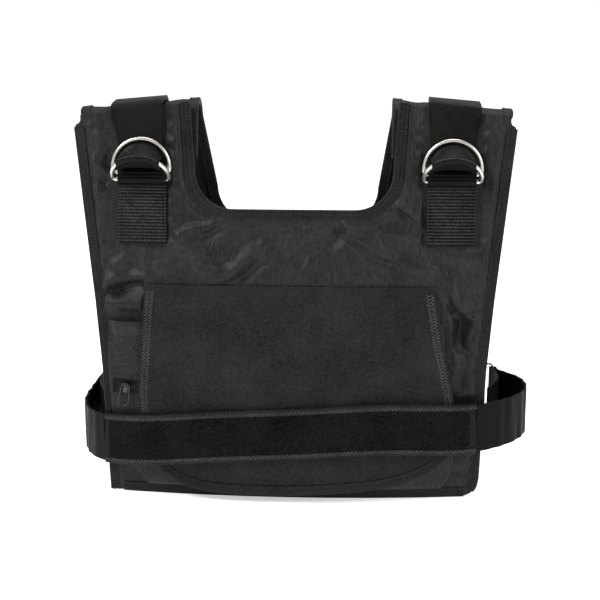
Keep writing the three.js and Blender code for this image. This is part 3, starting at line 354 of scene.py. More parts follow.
@dataclass(frozen=True)
class Shape:
    """The surfaces that all the pieces are set against, as the frame has them."""

    edge: float = 3.0
    pad: float = 7.0
    back_pad: float = 6.0
    side_top: float = 382.0
    shoulder_rise: float = 13.0
    arm_half: float = 218.5
    hem_out: float = 73.5
    front_top_out: float = 31.5
    bow: float = 18.6
    lean: float = 1.6
    neck_half_top: float = 102.5
    neck_half: float = 98.0
    neck_low: float = 291.5
    neck_round: float = 38.0
    back_hem_half: float = 186.0
    back_top_half: float = 209.0
    back_neck_half_top: float = 96.0
    back_neck_half: float = 83.0
    back_neck_low: float = 262.0
    roll_radius: float = 24.0
    roll_top: float = 396.0
    roll_fall: float = 10.0
    roll_start: float = 0.214
    roll_end: float = 0.18
    tuck: float = 35.0
    tuck_gap: float = 0.6
    rim: float = 1.3
    hem_round: float = 14.0
    flare: float = 6.5
    seam: float = 216.0
    strap_at: float = 156.0
    ring_up: float = 74.0

    @property
    def roll_length(self) -> float:
        """The cloth that the shoulder roll takes."""
        return self.roll_radius * (math.pi - self.roll_start - self.roll_end)

    def front(self, x: Points, z: Points) -> Points:
        """The front panel's outer face: its y at a place."""
        up = np.clip(z / self.side_top, 0, 1.1)
        fall = (self.hem_out - self.front_top_out) * up**self.lean
        return -(self.hem_out - fall) + self.bow * (1 - up) * (x / self.arm_half) ** 2

    def front_half(self, z: Points) -> Points:
        """The front panel's half width at a height."""
        heights, halves = [0, 0.34, 0.524, 0.974, 0.982, 1], [0.86, 0.885, 0.913, 1, 0.975, 0.975]
        return self.arm_half * np.interp(z / self.side_top, heights, halves) - self.rim

    def shoulder(self, x: Points) -> Points:
        """The height of the front's top edge at a place across."""
        share = (np.abs(x) - self.neck_half_top) / (self.arm_half - self.neck_half_top)
        return self.side_top + self.shoulder_rise * (1 - share)

    def from_strap(self, x: Points) -> Points:
        """How far a place across is from the middle of the nearer strap."""
        return np.abs(np.abs(x) - self.strap_at)

    def off_ring(self, x: Points, up: Points, start: float) -> Points:
        """Falls from 1 to 0 behind a back ring's tab, from a distance across."""
        return 1 - ramp(np.abs(x), start, start + 8) * (1 - ramp(np.abs(up - self.ring_up), 32, 42))

    def neckline(self, at: Points, top: float, half_top: float, half: float, low: float) -> Points:
        """Half a neckline: 0 to 1 down its side, to 2 round its corner, to 3 at its middle, as x and z."""
        radius = self.neck_round + self.rim
        mid_x, mid_z = half + self.rim - radius, low - self.rim + radius
        angle = np.clip(at - 1, 0, 1) * math.pi / 2
        x = mid_x + radius * np.cos(angle)
        z = mid_z - radius * np.sin(angle)
        x = np.where(at <= 1, (half_top - half) * (1 - at) + half + self.rim, x)
        z = np.where(at <= 1, top + (mid_z - top) * at, z)
        x = np.where(at > 2, mid_x * (3 - at), x)
        return np.stack([x, z], -1)

    def roll(self, x: Points) -> dict[str, Points]:
        """The shoulder roll at a place across: its middle, and where it meets the back and the front."""
        span = self.back_top_half - self.back_neck_half_top
        fall = self.roll_fall * np.maximum((np.abs(x) - self.back_neck_half_top) / span, 0)
        z = self.roll_top - fall - self.roll_radius
        front_z = z + self.roll_radius * math.sin(self.roll_end)
        y = self.front(x, front_z) + self.pad + self.tuck_gap + self.roll_radius * math.cos(self.roll_end)
        return {"y": y, "z": z, "back": z + self.roll_radius * math.sin(self.roll_start), "front": front_z}

    def back(self, x: Points, up: Points, depth: Points | float = 0.0) -> Points:
        """A point of the back: its place across, its length up the cloth and its depth in from the face."""
        roll = self.roll(x)
        turned = self.roll_start + (up - roll["back"]) / self.roll_radius
        share = np.clip(up / roll["back"], 0, 1)
        top_out = roll["y"] + self.roll_radius * math.cos(self.roll_start)
        bow = self.bow * (1 - share) * (x / self.arm_half) ** 2
        wall_y = self.hem_out - (self.hem_out - top_out) * share**self.lean - bow - depth
        radius = self.roll_radius - depth
        tuck_z = roll["front"] - (up - roll["back"] - self.roll_length)
        tuck_y = self.front(x, tuck_z) + self.pad + self.tuck_gap + depth
        on_wall, on_roll = turned < self.roll_start, turned < math.pi - self.roll_end
        y = np.where(on_wall, wall_y, np.where(on_roll, roll["y"] + radius * np.cos(turned), tuck_y))
        over = ramp(turned, 0.1, 0.9) * (1 - ramp(turned, 2.0, 2.7))
        x = x + np.sign(x) * self.flare * ramp(np.abs(x), 186, 209) * over
        z = np.where(on_wall, up, np.where(on_roll, roll["z"] + radius * np.sin(turned), tuck_z))
        return np.stack([x, y, z], -1)


SHAPE = Shape()


@dataclass(frozen=True)
class Value:
    """A number that changes over a surface, so that shader maths is written as an expression."""

    tree: bpy.types.NodeTree
    socket: bpy.types.NodeSocket

    def _math(self, operation: str, *operands: "Value | float") -> "Value":
        """Adds a Math node for an operation on values and numbers."""
        node = self.tree.nodes.new("ShaderNodeMath")
        node.operation = operation
        for slot, operand in zip(node.inputs, operands):
            if isinstance(operand, Value):
                self.tree.links.new(operand.socket, slot)
            else:
                slot.default_value = operand
        return Value(self.tree, node.outputs[0])

    def __add__(self, other: "Value | float") -> "Value":
        """Adds."""
        return self._math("ADD", self, other)

    def __sub__(self, other: "Value | float") -> "Value":
        """Subtracts."""
        return self._math("SUBTRACT", self, other)

    def __rsub__(self, other: float) -> "Value":
        """Subtracts from a number."""
        return self._math("SUBTRACT", other, self)

    def __mul__(self, other: "Value | float") -> "Value":
        """Multiplies."""
        return self._math("MULTIPLY", self, other)

    def __pow__(self, power: float) -> "Value":
        """Raises to a power."""
        return self._math("POWER", self, power)

    def wave(self, length: float) -> "Value":
        """A wave from 0 to 1 of a given length."""
        return self._math("SINE", self * (2 * math.pi / length)) * 0.5 + 0.5

    def clipped(self) -> "Value":
        """Keeps the value between 0 and 1."""
        return self._math("MINIMUM", self._math("MAXIMUM", self, 0.0), 1.0)


class Shader:
    """A material that is being built from nodes."""

    def __init__(self, name: str, constants: dict[str, Any]) -> None:
        """Starts a material.

        Args:
            name: The material's name.
            constants: Values set on the surface shader's own sockets.
        """
        self.material = bpy.data.materials.new(name)
        self.material.use_nodes = True
        self.tree = self.material.node_tree
        self.tree.nodes.clear()
        self.surface = self.node("ShaderNodeBsdfPrincipled", inputs=constants)
        self.node("ShaderNodeOutputMaterial", inputs={"Surface": self.surface.outputs[0]})

    def node(
        self, kind: str, settings: dict[str, Any] | None = None, inputs: dict[str, Any] | None = None
    ) -> bpy.types.Node:
        """Adds any node.

        Args:
            kind: The node's type.
            settings: Its properties, set first.
            inputs: A value or a link for each of its sockets, by name or number.

        Returns:
            The node.
        """
        node = self.tree.nodes.new(kind)
        for key, value in (settings or {}).items():
            setattr(node, key, value)
        for key, value in (inputs or {}).items():
            self.feed(node.inputs[key], value)
        return node

    def feed(self, slot: bpy.types.NodeSocket, value: Any) -> None:
        """Links or sets one socket."""
        if isinstance(value, Value):
            self.tree.links.new(value.socket, slot)
        elif isinstance(value, bpy.types.NodeSocket):
            self.tree.links.new(value, slot)
        else:
            slot.default_value = value

    def cloth_place(self) -> tuple[Value, Value]:
        """Gives the place on the flat cloth, along and across, in millimetres."""
        place = self.node("ShaderNodeTexCoord").outputs["UV"]
        split = self.node("ShaderNodeSeparateXYZ", inputs={0: place})
        return Value(self.tree, split.outputs[0]) * 1000, Value(self.tree, split.outputs[1]) * 1000

    def above(self, height: float, over: float) -> Value:
        """Rises from 0 to 1 above a height of the part, over a distance, both in metres."""
        place = self.node("ShaderNodeTexCoord").outputs["Object"]
        split = self.node("ShaderNodeSeparateXYZ", inputs={0: place})
        return ((Value(self.tree, split.outputs[2]) - height) * (1 / over)).clipped()

    def noise(self, size: float, stretch: tuple[float, float, float] = (1, 1, 1), detail: float = 2) -> Value:
        """Gives noise whose patches are of a size in millimetres.

        Args:
            size: The size of a patch.
            stretch: How many patches fit each way, as factors.
            detail: The noise's detail.

        Returns:
            The noise, about 0 to 1.
        """
        place = self.node("ShaderNodeTexCoord").outputs["Object"]
        scaled = self.node("ShaderNodeMapping", inputs={"Vector": place, "Scale": stretch})
        settings = {"Vector": scaled.outputs[0], "Scale": 1000 / size, "Detail": detail}
        return Value(self.tree, self.node("ShaderNodeTexNoise", inputs=settings).outputs[0])

    def blend(self, share: Value, dark: Sequence[float], light: Sequence[float]) -> bpy.types.NodeSocket:
        """Mixes two colours."""
        inputs = {0: share.clipped(), 6: (*dark, 1), 7: (*light, 1)}
        return self.node("ShaderNodeMix", {"data_type": "RGBA"}, inputs).outputs[2]

    def relief(self, height: Value, depth: float, strength: float = 1.0) -> None:
        """Raises the surface's normal by a height of 0 to 1, whose 1 stands for a depth in millimetres."""
        inputs = {"Height": height, "Distance": depth * MM, "Strength": strength}
        self.feed(self.surface.inputs["Normal"], self.node("ShaderNodeBump", inputs=inputs).outputs[0])


class Weave(Enum):
    """How a cloth's threads lie."""

    RIBBED = "fine ribs along the cloth"
    TWILL = "slanting lines"
    STRAP = "lengthwise cords with a fine cross thread"
    COARSE = "rows of thick cross threads"
    TAPE = "short ribs across a tape"
    NAP = "brushed loops"


@dataclass(frozen=True)
class ClothFinish:
    """A black cloth."""

    name: str
    weave: Weave
    dark: float
    light: float
    rough: float
    depth: float = 0.12
    sheen: float = 0.15
    specular: float = 0.5
    contrast: float = 0.4

    def threads(self, shader: Shader) -> Value:
        """The weave's height, 0 to 1, which also sets the colour; on the ring tabs it fades out above the
        bars as painted shade.
        """
        u, v = shader.cloth_place()
        match self.weave:
            case Weave.RIBBED:
                return u.wave(1.9) * 0.65 + v.wave(1.1) * 0.35
            case Weave.TWILL:
                return (u + v).wave(1.3) * 0.7 + (u - v).wave(2.1) * 0.3
            case Weave.STRAP:
                return v.wave(2.1) * 0.7 + (u + v).wave(1.5) * 0.3
            case Weave.COARSE:
                row = u.wave(3.2) ** 2.5
                # Above the sewn part the rows fade out: painted shade on the tab's loop round the ring bars,
                # which darkens it and also flattens its rows.
                return row * (v.wave(2.1) * 0.7 + 0.3) * (1 - shader.above(0.3125, 0.004))
            case Weave.TAPE:
                return u.wave(1.7) * 0.6 + v.wave(2.3) * 0.4
            case Weave.NAP:
                return shader.noise(0.9, detail=3) * 0.7 + shader.noise(3.5) * 0.5

    def make(self) -> bpy.types.Material:
        """Builds the material."""
        constants = {
            "Sheen Weight": self.sheen, "Sheen Roughness": 0.4, "Specular IOR Level": self.specular,
            "Sheen Tint": (0.8, 0.8, 0.76, 1),
        }
        shader = Shader(self.name, constants)
        threads = self.threads(shader)
        patches = shader.noise(38)
        fibres = shader.noise(2.4, (1, 1, 0.45 if self.weave is Weave.RIBBED else 1))
        grain = (fibres - 0.5) * 1.5 + (patches - 0.5) * 1.1
        share = (threads - 0.5) * self.contrast + grain + 0.5
        colours = [(c, c * 0.995, c * 0.93) for c in (self.dark, self.light)]
        shader.feed(shader.surface.inputs["Base Color"], shader.blend(share, *colours))
        rough = patches * 0.14 + threads * -0.08 + (self.rough - 0.03)
        shader.feed(shader.surface.inputs["Roughness"], rough)
        shader.relief(threads * 0.8 + fibres * 0.4, self.depth)
        return shader.material


@dataclass(frozen=True)
class MetalFinish:
    """A plated or blackened metal."""

    name: str
    colour: tuple[float, float, float]
    rough: float
    worn: tuple[float, float, float]

    def make(self) -> bpy.types.Material:
        """Builds the material."""
        shader = Shader(self.name, {"Metallic": 1.0})
        patches, scratches = shader.noise(6, detail=4), shader.noise(1.2, (0.2, 1, 1))
        share = (patches * 1.6 - 0.55).clipped()
        shader.feed(shader.surface.inputs["Base Color"], shader.blend(share, self.colour, self.worn))
        rough = patches * 0.12 + scratches * 0.08 + (self.rough - 0.08)
        shader.feed(shader.surface.inputs["Roughness"], rough)
        shader.relief(scratches, 0.02, 0.4)
        return shader.material


@dataclass(frozen=True)
class FloorFinish:
    """The plain pale floor."""

    name: str = "pale_floor"
    grey: float = 0.9

    def make(self) -> bpy.types.Material:
        """Builds the material."""
        constants = {
            "Roughness": 0.9, "Specular IOR Level": 0.1,
            "Emission Color": (1, 1, 1, 1), "Emission Strength": 0.5,
        }
        shader = Shader(self.name, constants)
        colours = ((self.grey,) * 3, (self.grey + 0.03,) * 3)
        shader.feed(shader.surface.inputs["Base Color"], shader.blend(shader.noise(900), *colours))
        return shader.material


class Finishes:
    """All the vest's materials, each built once."""

    def __init__(self) -> None:
        """Builds them."""
        self.nylon = ClothFinish("ribbed_nylon", Weave.RIBBED, 0.002, 0.0185, 0.47, 0.14, 0.03, 0.17).make()
        self.flap = ClothFinish("flap_nylon", Weave.TWILL, 0.002, 0.016, 0.6, 0.08, 0.02, 0.11).make()
        self.lining = ClothFinish("lining", Weave.TWILL, 0.001, 0.008, 0.5, 0.08, 0.02, 0.15).make()
        self.tape = ClothFinish("edge_tape", Weave.TAPE, 0.001, 0.0125, 0.5, 0.2, 0.02, 0.12).make()
        self.strap = ClothFinish("strap_webbing", Weave.STRAP, 0.001, 0.0065, 0.5, 0.14, 0.01, 0.09).make()
        self.coarse = ClothFinish(
            "ribbed_webbing", Weave.COARSE, 0.001, 0.036, 0.5, 0.35, 0.01, 0.1, contrast=1.3
        ).make()
        self.nap = ClothFinish("brushed_pile", Weave.NAP, 0.001, 0.009, 0.9, 0.5, 0.02, 0.02, 0.8).make()
        self.loops = ClothFinish("loop_pile", Weave.NAP, 0.005, 0.029, 0.85, 0.5, 0.02, 0.03, 0.8).make()
        self.loop = ClothFinish("loop_webbing", Weave.STRAP, 0.001, 0.0042, 0.55, 0.14, 0.01, 0.07).make()
        self.thread = ClothFinish("thread", Weave.TAPE, 0.025, 0.1, 0.5, 0.05, 0.05, 0.3).make()
        self.faint_thread = ClothFinish("faint_thread", Weave.TAPE, 0.008, 0.034, 0.5, 0.05, 0.03, 0.2).make()
        self.dark_thread = ClothFinish("dark_thread", Weave.TAPE, 0.002, 0.008, 0.5, 0.05, 0.02, 0.15).make()
        self.nickel = MetalFinish("nickel", (0.66, 0.64, 0.6), 0.27, (0.52, 0.5, 0.46)).make()
        self.dark_metal = MetalFinish("dark_metal", (0.032, 0.032, 0.033), 0.36, (0.09, 0.09, 0.09)).make()


@dataclass
class Settling:
    """How a padded cloth is left to settle in a cloth simulation."""

    frames: int = 14
    growth: float = 0.02
    pressure: float = 0.6
    bending: float = 0.4
    cap: float = 3.0

    def run(self, piece: bpy.types.Object, held: Points) -> None:
        """Settles a piece and keeps each corner within the cap of its start.

        Args:
            piece: The sheet.
            held: How firmly each corner is held, 0 to 1.
        """
        start = Bench.points(piece)
        group = piece.vertex_groups.new(name="held")
        for level in np.unique(np.round(held, 1)):
            if level > 0:
                group.add(np.flatnonzero(np.round(held, 1) == level).tolist(), float(level), "REPLACE")
        Bench.pick(piece)
        modifier = piece.modifiers.new("Settle", "CLOTH")
        cloth = modifier.settings
        cloth.quality, cloth.mass, cloth.air_damping = 4, 0.15, 2.0
        cloth.tension_stiffness = cloth.compression_stiffness = 12
        cloth.bending_stiffness = self.bending
        cloth.shrink_min = -self.growth
        cloth.use_pressure, cloth.uniform_pressure_force = True, self.pressure
        cloth.effector_weights.gravity = 0
        cloth.vertex_group_mass = "held"
        modifier.collision_settings.use_collision = False
        modifier.point_cache.frame_start, modifier.point_cache.frame_end = 1, self.frames
        for frame in range(1, self.frames + 1):
            bpy.context.scene.frame_set(frame)
        bpy.ops.object.modifier_apply(modifier=modifier.name)
        bpy.context.scene.frame_set(1)
        move = Bench.points(piece) - start
        far = np.linalg.norm(move, axis=1, keepdims=True)
        limit = self.cap * MM
        Bench.place(piece, start + move * np.minimum(1, limit / np.maximum(far, 1e-9)))
        piece.vertex_groups.clear()


@dataclass
class Wardrobe:
    """What each class needs to dress its pieces: the finishes and the pieces made so far."""

    finishes: Finishes
    made: list[str] = field(default_factory=list)

    def dress(
        self, piece: bpy.types.Object, material: bpy.types.Material, slot: str, *nodes: str
    ) -> bpy.types.Object:
        """Gives a piece its material and body, and hides the nodes that it stands for."""
        piece.data.materials.clear()
        piece.data.materials.append(material)
        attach(piece, BODY)
        if nodes:
            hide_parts(*nodes)
        self.made.append(piece.name)
        log.info("%s: %d faces", piece.name, len(piece.data.polygons))
        return piece


@dataclass
class Stitching:
    """Rows of thread: one stitch is modelled and copied along a line."""

    length: float = 2.4
    gap: float = 0.9
    radius: float = 0.32

    def stitch(self) -> bpy.types.Object:
        """Models one stitch: a small sphere drawn out along X with its ends sunk."""
        bpy.ops.object.select_all(action="DESELECT")
        bpy.ops.mesh.primitive_uv_sphere_add(segments=6, ring_count=5, radius=1)
        piece = bpy.context.active_object
        corners = Bench.points(piece)[:, [2, 0, 1]] * np.array([self.length / 2, self.radius, self.radius])
        corners[:, 2] -= 0.25 * (corners[:, 0] / (self.length / 2)) ** 2
        Bench.place(piece, corners * MM)
        bpy.ops.object.shade_smooth()
        return piece

    def row(self, line: Points, off: Points, turn: float = 0.0) -> list[Matrix]:
        """Places stitches along a line.

        Args:
            line: Points of the line, in millimetres.
            off: The way off the cloth at each point.
            turn: Each stitch's turn out of the line, in degrees; its sign changes from one to the next.

        Returns:
            A matrix for each stitch, in the part's frame.
        """
        both = along(np.hstack([line, off]), self.length + self.gap)
        spots, ups = both[:, :3], unit(both[:, 3:])
        ways = unit(np.gradient(spots, axis=0))
        places = []
        for k, (spot, way, up) in enumerate(zip(spots, ways, ups)):
            side = np.cross(up, way)
            side /= max(np.linalg.norm(side), 1e-9)
            angle = math.radians(turn if k % 2 else -turn)
            x = way * math.cos(angle) + side * math.sin(angle)
            frame = np.stack([x, np.cross(up, x), up], 1)
            matrix = Matrix([[*frame[r], 0] for r in range(3)] + [[0, 0, 0, 1]])
            places.append(Matrix.Translation(Vector(Bench.to_part(spot))) @ matrix)
        return places

    def sew(
        self, wardrobe: Wardrobe, name: str, rows: Sequence[list[Matrix]], thread: bpy.types.Material
    ) -> bpy.types.Object:
        """Makes all the stitches of some rows as one piece of thread."""
        piece = Bench.copies(name, self.stitch(), [matrix for row in rows for matrix in row])
        return wardrobe.dress(piece, thread, "binding")


@dataclass
class EdgeTape:
    """Tape folded round an edge of cloth."""

    leg: float = 9.0
    thick: float = 1.0
    clear: float = 0.3
    pucker: float = 0.14
    pucker_pitch: float = 6.5

    def lift(self, half: float) -> float:
        """How far a thread on the tape is from the middle of a cloth, given half the cloth's thickness."""
        return half + self.clear + self.thick + 0.2

    def wrap(
        self, wardrobe: Wardrobe, name: str, seam: Seam, half: float, node: str, on: str
    ) -> bpy.types.Object:
        """Folds tape round a seam.

        Args:
            wardrobe: Where it is dressed.
            name: The tape's name.
            seam: The edge, on the middle of the cloth.
            half: Half the cloth's thickness.
            node: The node it stands for.
            on: The piece it lies on; not used.

        Returns:
            The tape.
        """
        out, reach, inner = half + self.clear + self.thick / 2, self.clear + self.thick / 2, self.leg
        length = float(np.linalg.norm(np.diff(seam.edge, axis=0), axis=1).sum())
        count = max(8, round(length / 3))
        bend = math.pi * math.sqrt((out**2 + reach**2) / 2)
        span = 2 * inner + bend
        marks = np.linspace(0, 1, len(seam.edge))

        def surface(s: Points, t: Points) -> Points:
            """Follows the seam, and bends round it."""
            run = t * span - inner
            angle = math.pi * np.clip(run / bend, 0, 1)
            bent = (run >= 0) & (run <= bend)
            far = np.where(bent, -reach * np.sin(angle), np.where(run < 0, -run, run - bend))
            lift = out * np.cos(angle)
            parts = [
                np.stack([np.interp(s, marks, part[:, k]) for k in range(3)], -1)
                for part in (seam.edge, seam.inward, seam.off)
            ]
            pinch = np.sin(math.pi * np.clip(far / inner, 0, 1))
            pucker = self.pucker * np.sin(s * length * 2 * math.pi / self.pucker_pitch) * pinch
            wave = 0.25 * ripples(s * length, t * 10, 30, 5)
            off = lift + (pucker + wave * 0.4) * np.sign(lift)
            return parts[0] + far[:, None] * parts[1] + off[:, None] * parts[2]

        tape = Bench.grid(name, count, 18, surface, (length, span))
        Bench.thicken(tape, self.thick)
        Bench.finish(tape, angle=60)
        wardrobe.dress(tape, wardrobe.finishes.tape, "binding", node)
        span * MM
        return tape


@dataclass(frozen=True)
class Fold:
    """A ridge, or with a height below 0 a dent, between two places of the front, in millimetres."""

    x0: float
    z0: float
    x1: float
    z1: float
    wide: float
    high: float

    def height(self, x: Points, z: Points) -> Points:
        """The fold's height at a place."""
        start, way = np.array([self.x0, self.z0]), np.array([self.x1 - self.x0, self.z1 - self.z0])
        length = float(np.hypot(*way))
        run = ((x - start[0]) * way[0] + (z - start[1]) * way[1]) / length
        side = ((x - start[0]) * way[1] - (z - start[1]) * way[0]) / length
        side = side + 2.2 * np.sin(run / 9 + self.x0)
        over = np.maximum(np.maximum(-run, run - length), 0)
        swell = 0.7 + 0.3 * np.sin(math.pi * np.clip(run / length, 0, 1))
        return self.high * swell * np.exp(-((side / self.wide) ** 2) - (over / (1.2 * self.wide)) ** 2)


FRONT_NECK = [
    0, 0.12, 0.2, 0.5, 0.8, 1.05, 1.3, 1.5, 1.65, 1.76,
    1.84, 1.89, 1.92, 1.95, 1.98, 2.12, 2.35, 2.6, 2.82, 3,
]
FRONT_SIDE = [1, 0.984, 0.972, 0.88, 0.78, 0.68, 0.58, 0.48, 0.37, 0.26, 0.16, 0.08, 0.033, 0]
FRONT_HEM = [1, 0.945, 0.8, 0.62, 0.42, 0.21, 0]
BACK_ROLL = [1, 0.66, 0.53, 0.4, 0.27, 0.13, 0]
BACK_NECK = [0, 0.5, 1, 1.35, 1.6, 1.75, 1.85, 1.9, 1.94, 1.96, 2, 2.2, 2.45, 2.7, 3]
BACK_SIDE = [1, 0.88, 0.74, 0.6, 0.45, 0.3, 0.16, 0.08, 0.033, 0]
BACK_HEM = [1, 0.945, 0.75, 0.5, 0.25, 0]


def even_stations(
    outline: Callable[[Points], tuple[Points, Points]], last: int, spacing: float
) -> tuple[Points, Points]:
    """Chooses stations across a panel, from left to right, so that its cells are even.

    Args:
        outline: Gives the panel's inner and outer edge at stations round its right half.
        last: The last station, at the panel's middle.
        spacing: The cells' length.

    Returns:
        The stations' numbers, and -1 or 1 for the side that each is on.
    """
    k = np.linspace(0, last, 1600)
    step = np.maximum(*(np.linalg.norm(np.diff(p, axis=0), axis=1) for p in outline(k)))
    run = np.concatenate([[0], np.cumsum(step)])
    half = np.interp(np.linspace(0, run[-1], round(run[-1] / spacing) + 1), run, k)
    signs = np.concatenate([-np.ones(len(half)), np.ones(len(half) - 1)])
    return np.concatenate([half, half[-2::-1]]), signs


def panel_seams(
    seam: Callable[[Points, Points], Seam], inside: Points, outside: Points, side: Points, hem: Points
) -> dict[str, Seam]:
    """Makes the four seams of a panel: its neck, its two sides and its hem.

    Args:
        seam: Makes a seam of an edge, with the way in towards other points.
        inside: The neck's edge, from left to right.
        outside: The outline's points, one for each of the neck's.
        side: The numbers of the points at both sides.
        hem: The numbers of the points at the hem.

    Returns:
        The seams by name.
    """
    half = len(outside) // 2
    places = {"left": side[side < half], "right": side[side > half], "hem": hem}
    seams = {"neck": seam(inside, outside)}
    for name, at in places.items():
        seams[name] = seam(outside[at], inside[at])
    return seams


def way_in(path: Points, towards: Points) -> Points:
    """Gives a flat path's unit normals, on the side of some other points."""
    way = unit(np.gradient(path, axis=0))
    turned = np.stack([-way[:, 1], way[:, 0]], -1)
    return turned * np.sign(np.sum(turned * (towards - path), axis=1))[:, None]


@dataclass
class FrontPanel:
    """The padded front: its cloth, its folds and the tapes round it."""

    spacing: float = 3.4
    rows: int = 84
    corner: int = 13
    last: int = 19
    tape_start: float = 1.83
    folds: tuple[Fold, ...] = (
        Fold(-78, 219, -36, 247, 7, 4.2), Fold(-66, 213, -28, 238, 6, -2.6),
        Fold(-130, 254, -98, 260, 7, 2.6), Fold(-108, 262, -90, 237, 6, 2.4),
        Fold(-112, 266, -74, 281, 5, 3.0), Fold(-104, 258, -72, 271, 5, -1.8),
        Fold(-197, 212, -164, 242, 7, 3.4), Fold(-198, 206, -146, 214, 5, -4.2),
        Fold(-196, 217, -150, 224, 6, 3.0), Fold(-194, 195, -151, 199, 7, 3.8),
        Fold(-162, 248, -164, 224, 6, -2.4), Fold(-148, 250, -146, 228, 6, 2.2),
        Fold(-95, 240, -78, 235, 4, 2.0), Fold(44, 283, 40, 260, 5.5, -3.4),
        Fold(48, 283, 61, 272, 4, 3.0), Fold(52, 261, 93, 237, 4, -2.8), Fold(55, 268, 97, 245, 5, 2.8),
        Fold(93, 298, 123, 272, 3.2, -2.4), Fold(100, 300, 126, 279, 5, 2.0),
        Fold(128, 268, 145, 238, 3.4, -2.6), Fold(122, 264, 134, 240, 5, 2.2),
        Fold(175, 263, 196, 255, 4.5, 2.6), Fold(174, 255, 194, 247, 4, -2.0),
        Fold(-5, 261, 26, 274, 7, 2.2), Fold(141, 219, 166, 181, 6.5, -5.0),
        Fold(166, 181, 172, 156, 6, -4.4), Fold(153, 218, 178, 178, 7, 3.6),
        Fold(173, 187, 187, 190, 4, 1.8), Fold(36, 240, 39, 224, 3.5, -1.8),
        Fold(168, 172, 171, 120, 5, -3.0), Fold(-214, 342, -187, 330, 5, 2.8),
        Fold(-205, 307, -188, 306, 4.5, 2.6), Fold(-203, 319, -184, 317, 6, -2.6),
        Fold(20, 246, 8, 228, 6, 1.8), Fold(-20, 270, -52, 262, 6, -1.6),
        Fold(100, 250, 112, 226, 6, 1.8), Fold(60, 230, 84, 224, 5, 1.6),
        Fold(-186, 256, -194, 236, 5, 1.6),
    )

    def outline(self, k: Points, sign: Points) -> tuple[Points, Points]:
        """Gives the neck's and the outline's points at stations round half the panel, as x and z."""
        stations = np.arange(self.last + 1)
        neck = np.interp(k, stations, FRONT_NECK)
        top = float(SHAPE.shoulder(SHAPE.neck_half_top))
        inside = SHAPE.neckline(neck, top, SHAPE.neck_half_top, SHAPE.neck_half, SHAPE.neck_low)
        side = np.interp(k, stations[: self.corner + 1], FRONT_SIDE) * SHAPE.side_top
        hem = np.interp(k, stations[self.corner :], FRONT_HEM)
        at_side = k <= self.corner
        hem_half = float(SHAPE.front_half(0.0))
        x = np.where(at_side, SHAPE.front_half(side), hem * hem_half)
        z = np.where(at_side, np.maximum(side, SHAPE.rim), SHAPE.rim)
        mid = np.array([hem_half - SHAPE.hem_round, SHAPE.rim + SHAPE.hem_round])
        off = np.stack([x, z], -1) - mid
        rounded = mid + unit(off) * SHAPE.hem_round
        cut = (off[:, 0] > 0) & (off[:, 1] < 0) & (sign > 0)
        outside = np.where(cut[:, None], rounded, np.stack([x, z], -1))
        return inside, outside

    def relief(self, x: Points, z: Points, inset: Points) -> Points:
        """How far the cloth stands off the smooth face: folds, padding beside the straps, and unevenness."""
        height = 1.4 * sum(fold.height(x, z) for fold in self.folds)
        height = height + 0.55 * ripples(x, z * 0.7, 46, 3) + 0.22 * ripples(x, z, 17, 8)
        aside = SHAPE.from_strap(x)
        height = height + 3.6 * np.exp(-(((aside - 37) / 6.5) ** 2)) * ramp(z, 250, 290)
        height = height + 1.6 * np.exp(-(((inset - 15) / 3.2) ** 2)) * ramp(z, 200, 240)
        beside = 1 - (1 - ramp(aside, 26, 32)) * ramp(z, 247, 254)
        above = ramp(z, SHAPE.seam + 1, SHAPE.seam + 9)
        right = ramp(x, 150, 158)
        left = ramp(-x, 147, 152) * ramp(z, 178, 186)
        return height * beside * np.maximum(np.maximum(above, right), left) * ramp(inset, 8, 15)

    def build(self, wardrobe: Wardrobe) -> None:
        """Builds the front and its tapes."""
        stations, signs = even_stations(lambda k: self.outline(k, np.ones_like(k)), self.last, self.spacing)
        inside, outside = self.outline(stations, signs)
        sides = np.stack([signs, np.ones_like(signs)], 1)
        marks = np.linspace(0, 1, len(stations))
        across = np.linalg.norm(outside - inside, axis=1)

        def flat(s: Points, t: Points) -> tuple[Points, Points, Points]:
            """The place on the flat front, and how far it is from the nearest edge."""
            rows = [
                np.stack([np.interp(s, marks, p[:, k] * sides[:, k]) for k in (0, 1)], -1)
                for p in (inside, outside)
            ]
            place = rows[0] + (rows[1] - rows[0]) * t[:, None]
            z = np.minimum(place[:, 1], SHAPE.shoulder(place[:, 0]))
            width = np.interp(s, marks, across)
            return place[:, 0], z, np.minimum(t, 1 - t) * width

        def surface(s: Points, t: Points) -> Points:
            """The outer face."""
            x, z, inset = flat(s, t)
            return np.stack([x, SHAPE.front(x, z) - self.relief(x, z, inset), z], -1)

        panel = Bench.grid("front_padding", len(stations) - 1, self.rows, surface, (1, 1))
        local = Bench.points(panel) / MM - ORIGIN
        x, z = local[:, 0], local[:, 2]
        Bench.map_cloth(panel, np.stack([x, z * 1.03], -1) * MM)
        _, _, inset = flat(*Bench.shares(len(stations), self.rows + 1))
        free = ramp(inset, 10, 20) * ramp(SHAPE.shoulder(x) - z, 4, 14)
        free = free * (1 - (1 - ramp(SHAPE.from_strap(x), 26, 32)) * ramp(z, 240, 254))
        shown = np.maximum(ramp(z, SHAPE.seam + 2, SHAPE.seam + 12), ramp(x, 152, 160))
        Settling(growth=0.018, pressure=-0.4, bending=0.8, cap=2.4).run(panel, 1 - free * shown)
        depth = SHAPE.edge + (SHAPE.pad - SHAPE.edge) * ramp(
            np.minimum(inset, np.maximum(SHAPE.shoulder(x) - z, 0) * 0.8 + 2), 9, 24
        )
        Bench.taper(panel, depth / SHAPE.pad)
        Bench.thicken(panel, SHAPE.pad, 1.0, "taper")
        Bench.finish(panel, angle=60)
        wardrobe.dress(panel, wardrobe.finishes.nylon, "nylon", "front_panel")
        self.tapes(wardrobe, inside * sides, outside * sides, stations)

    def tapes(self, wardrobe: Wardrobe, inside: Points, outside: Points, stations: Points) -> None:
        """Folds the tapes round the neck, the sides and the hem, and sews them."""
        tape, sewing = EdgeTape(), Stitching()

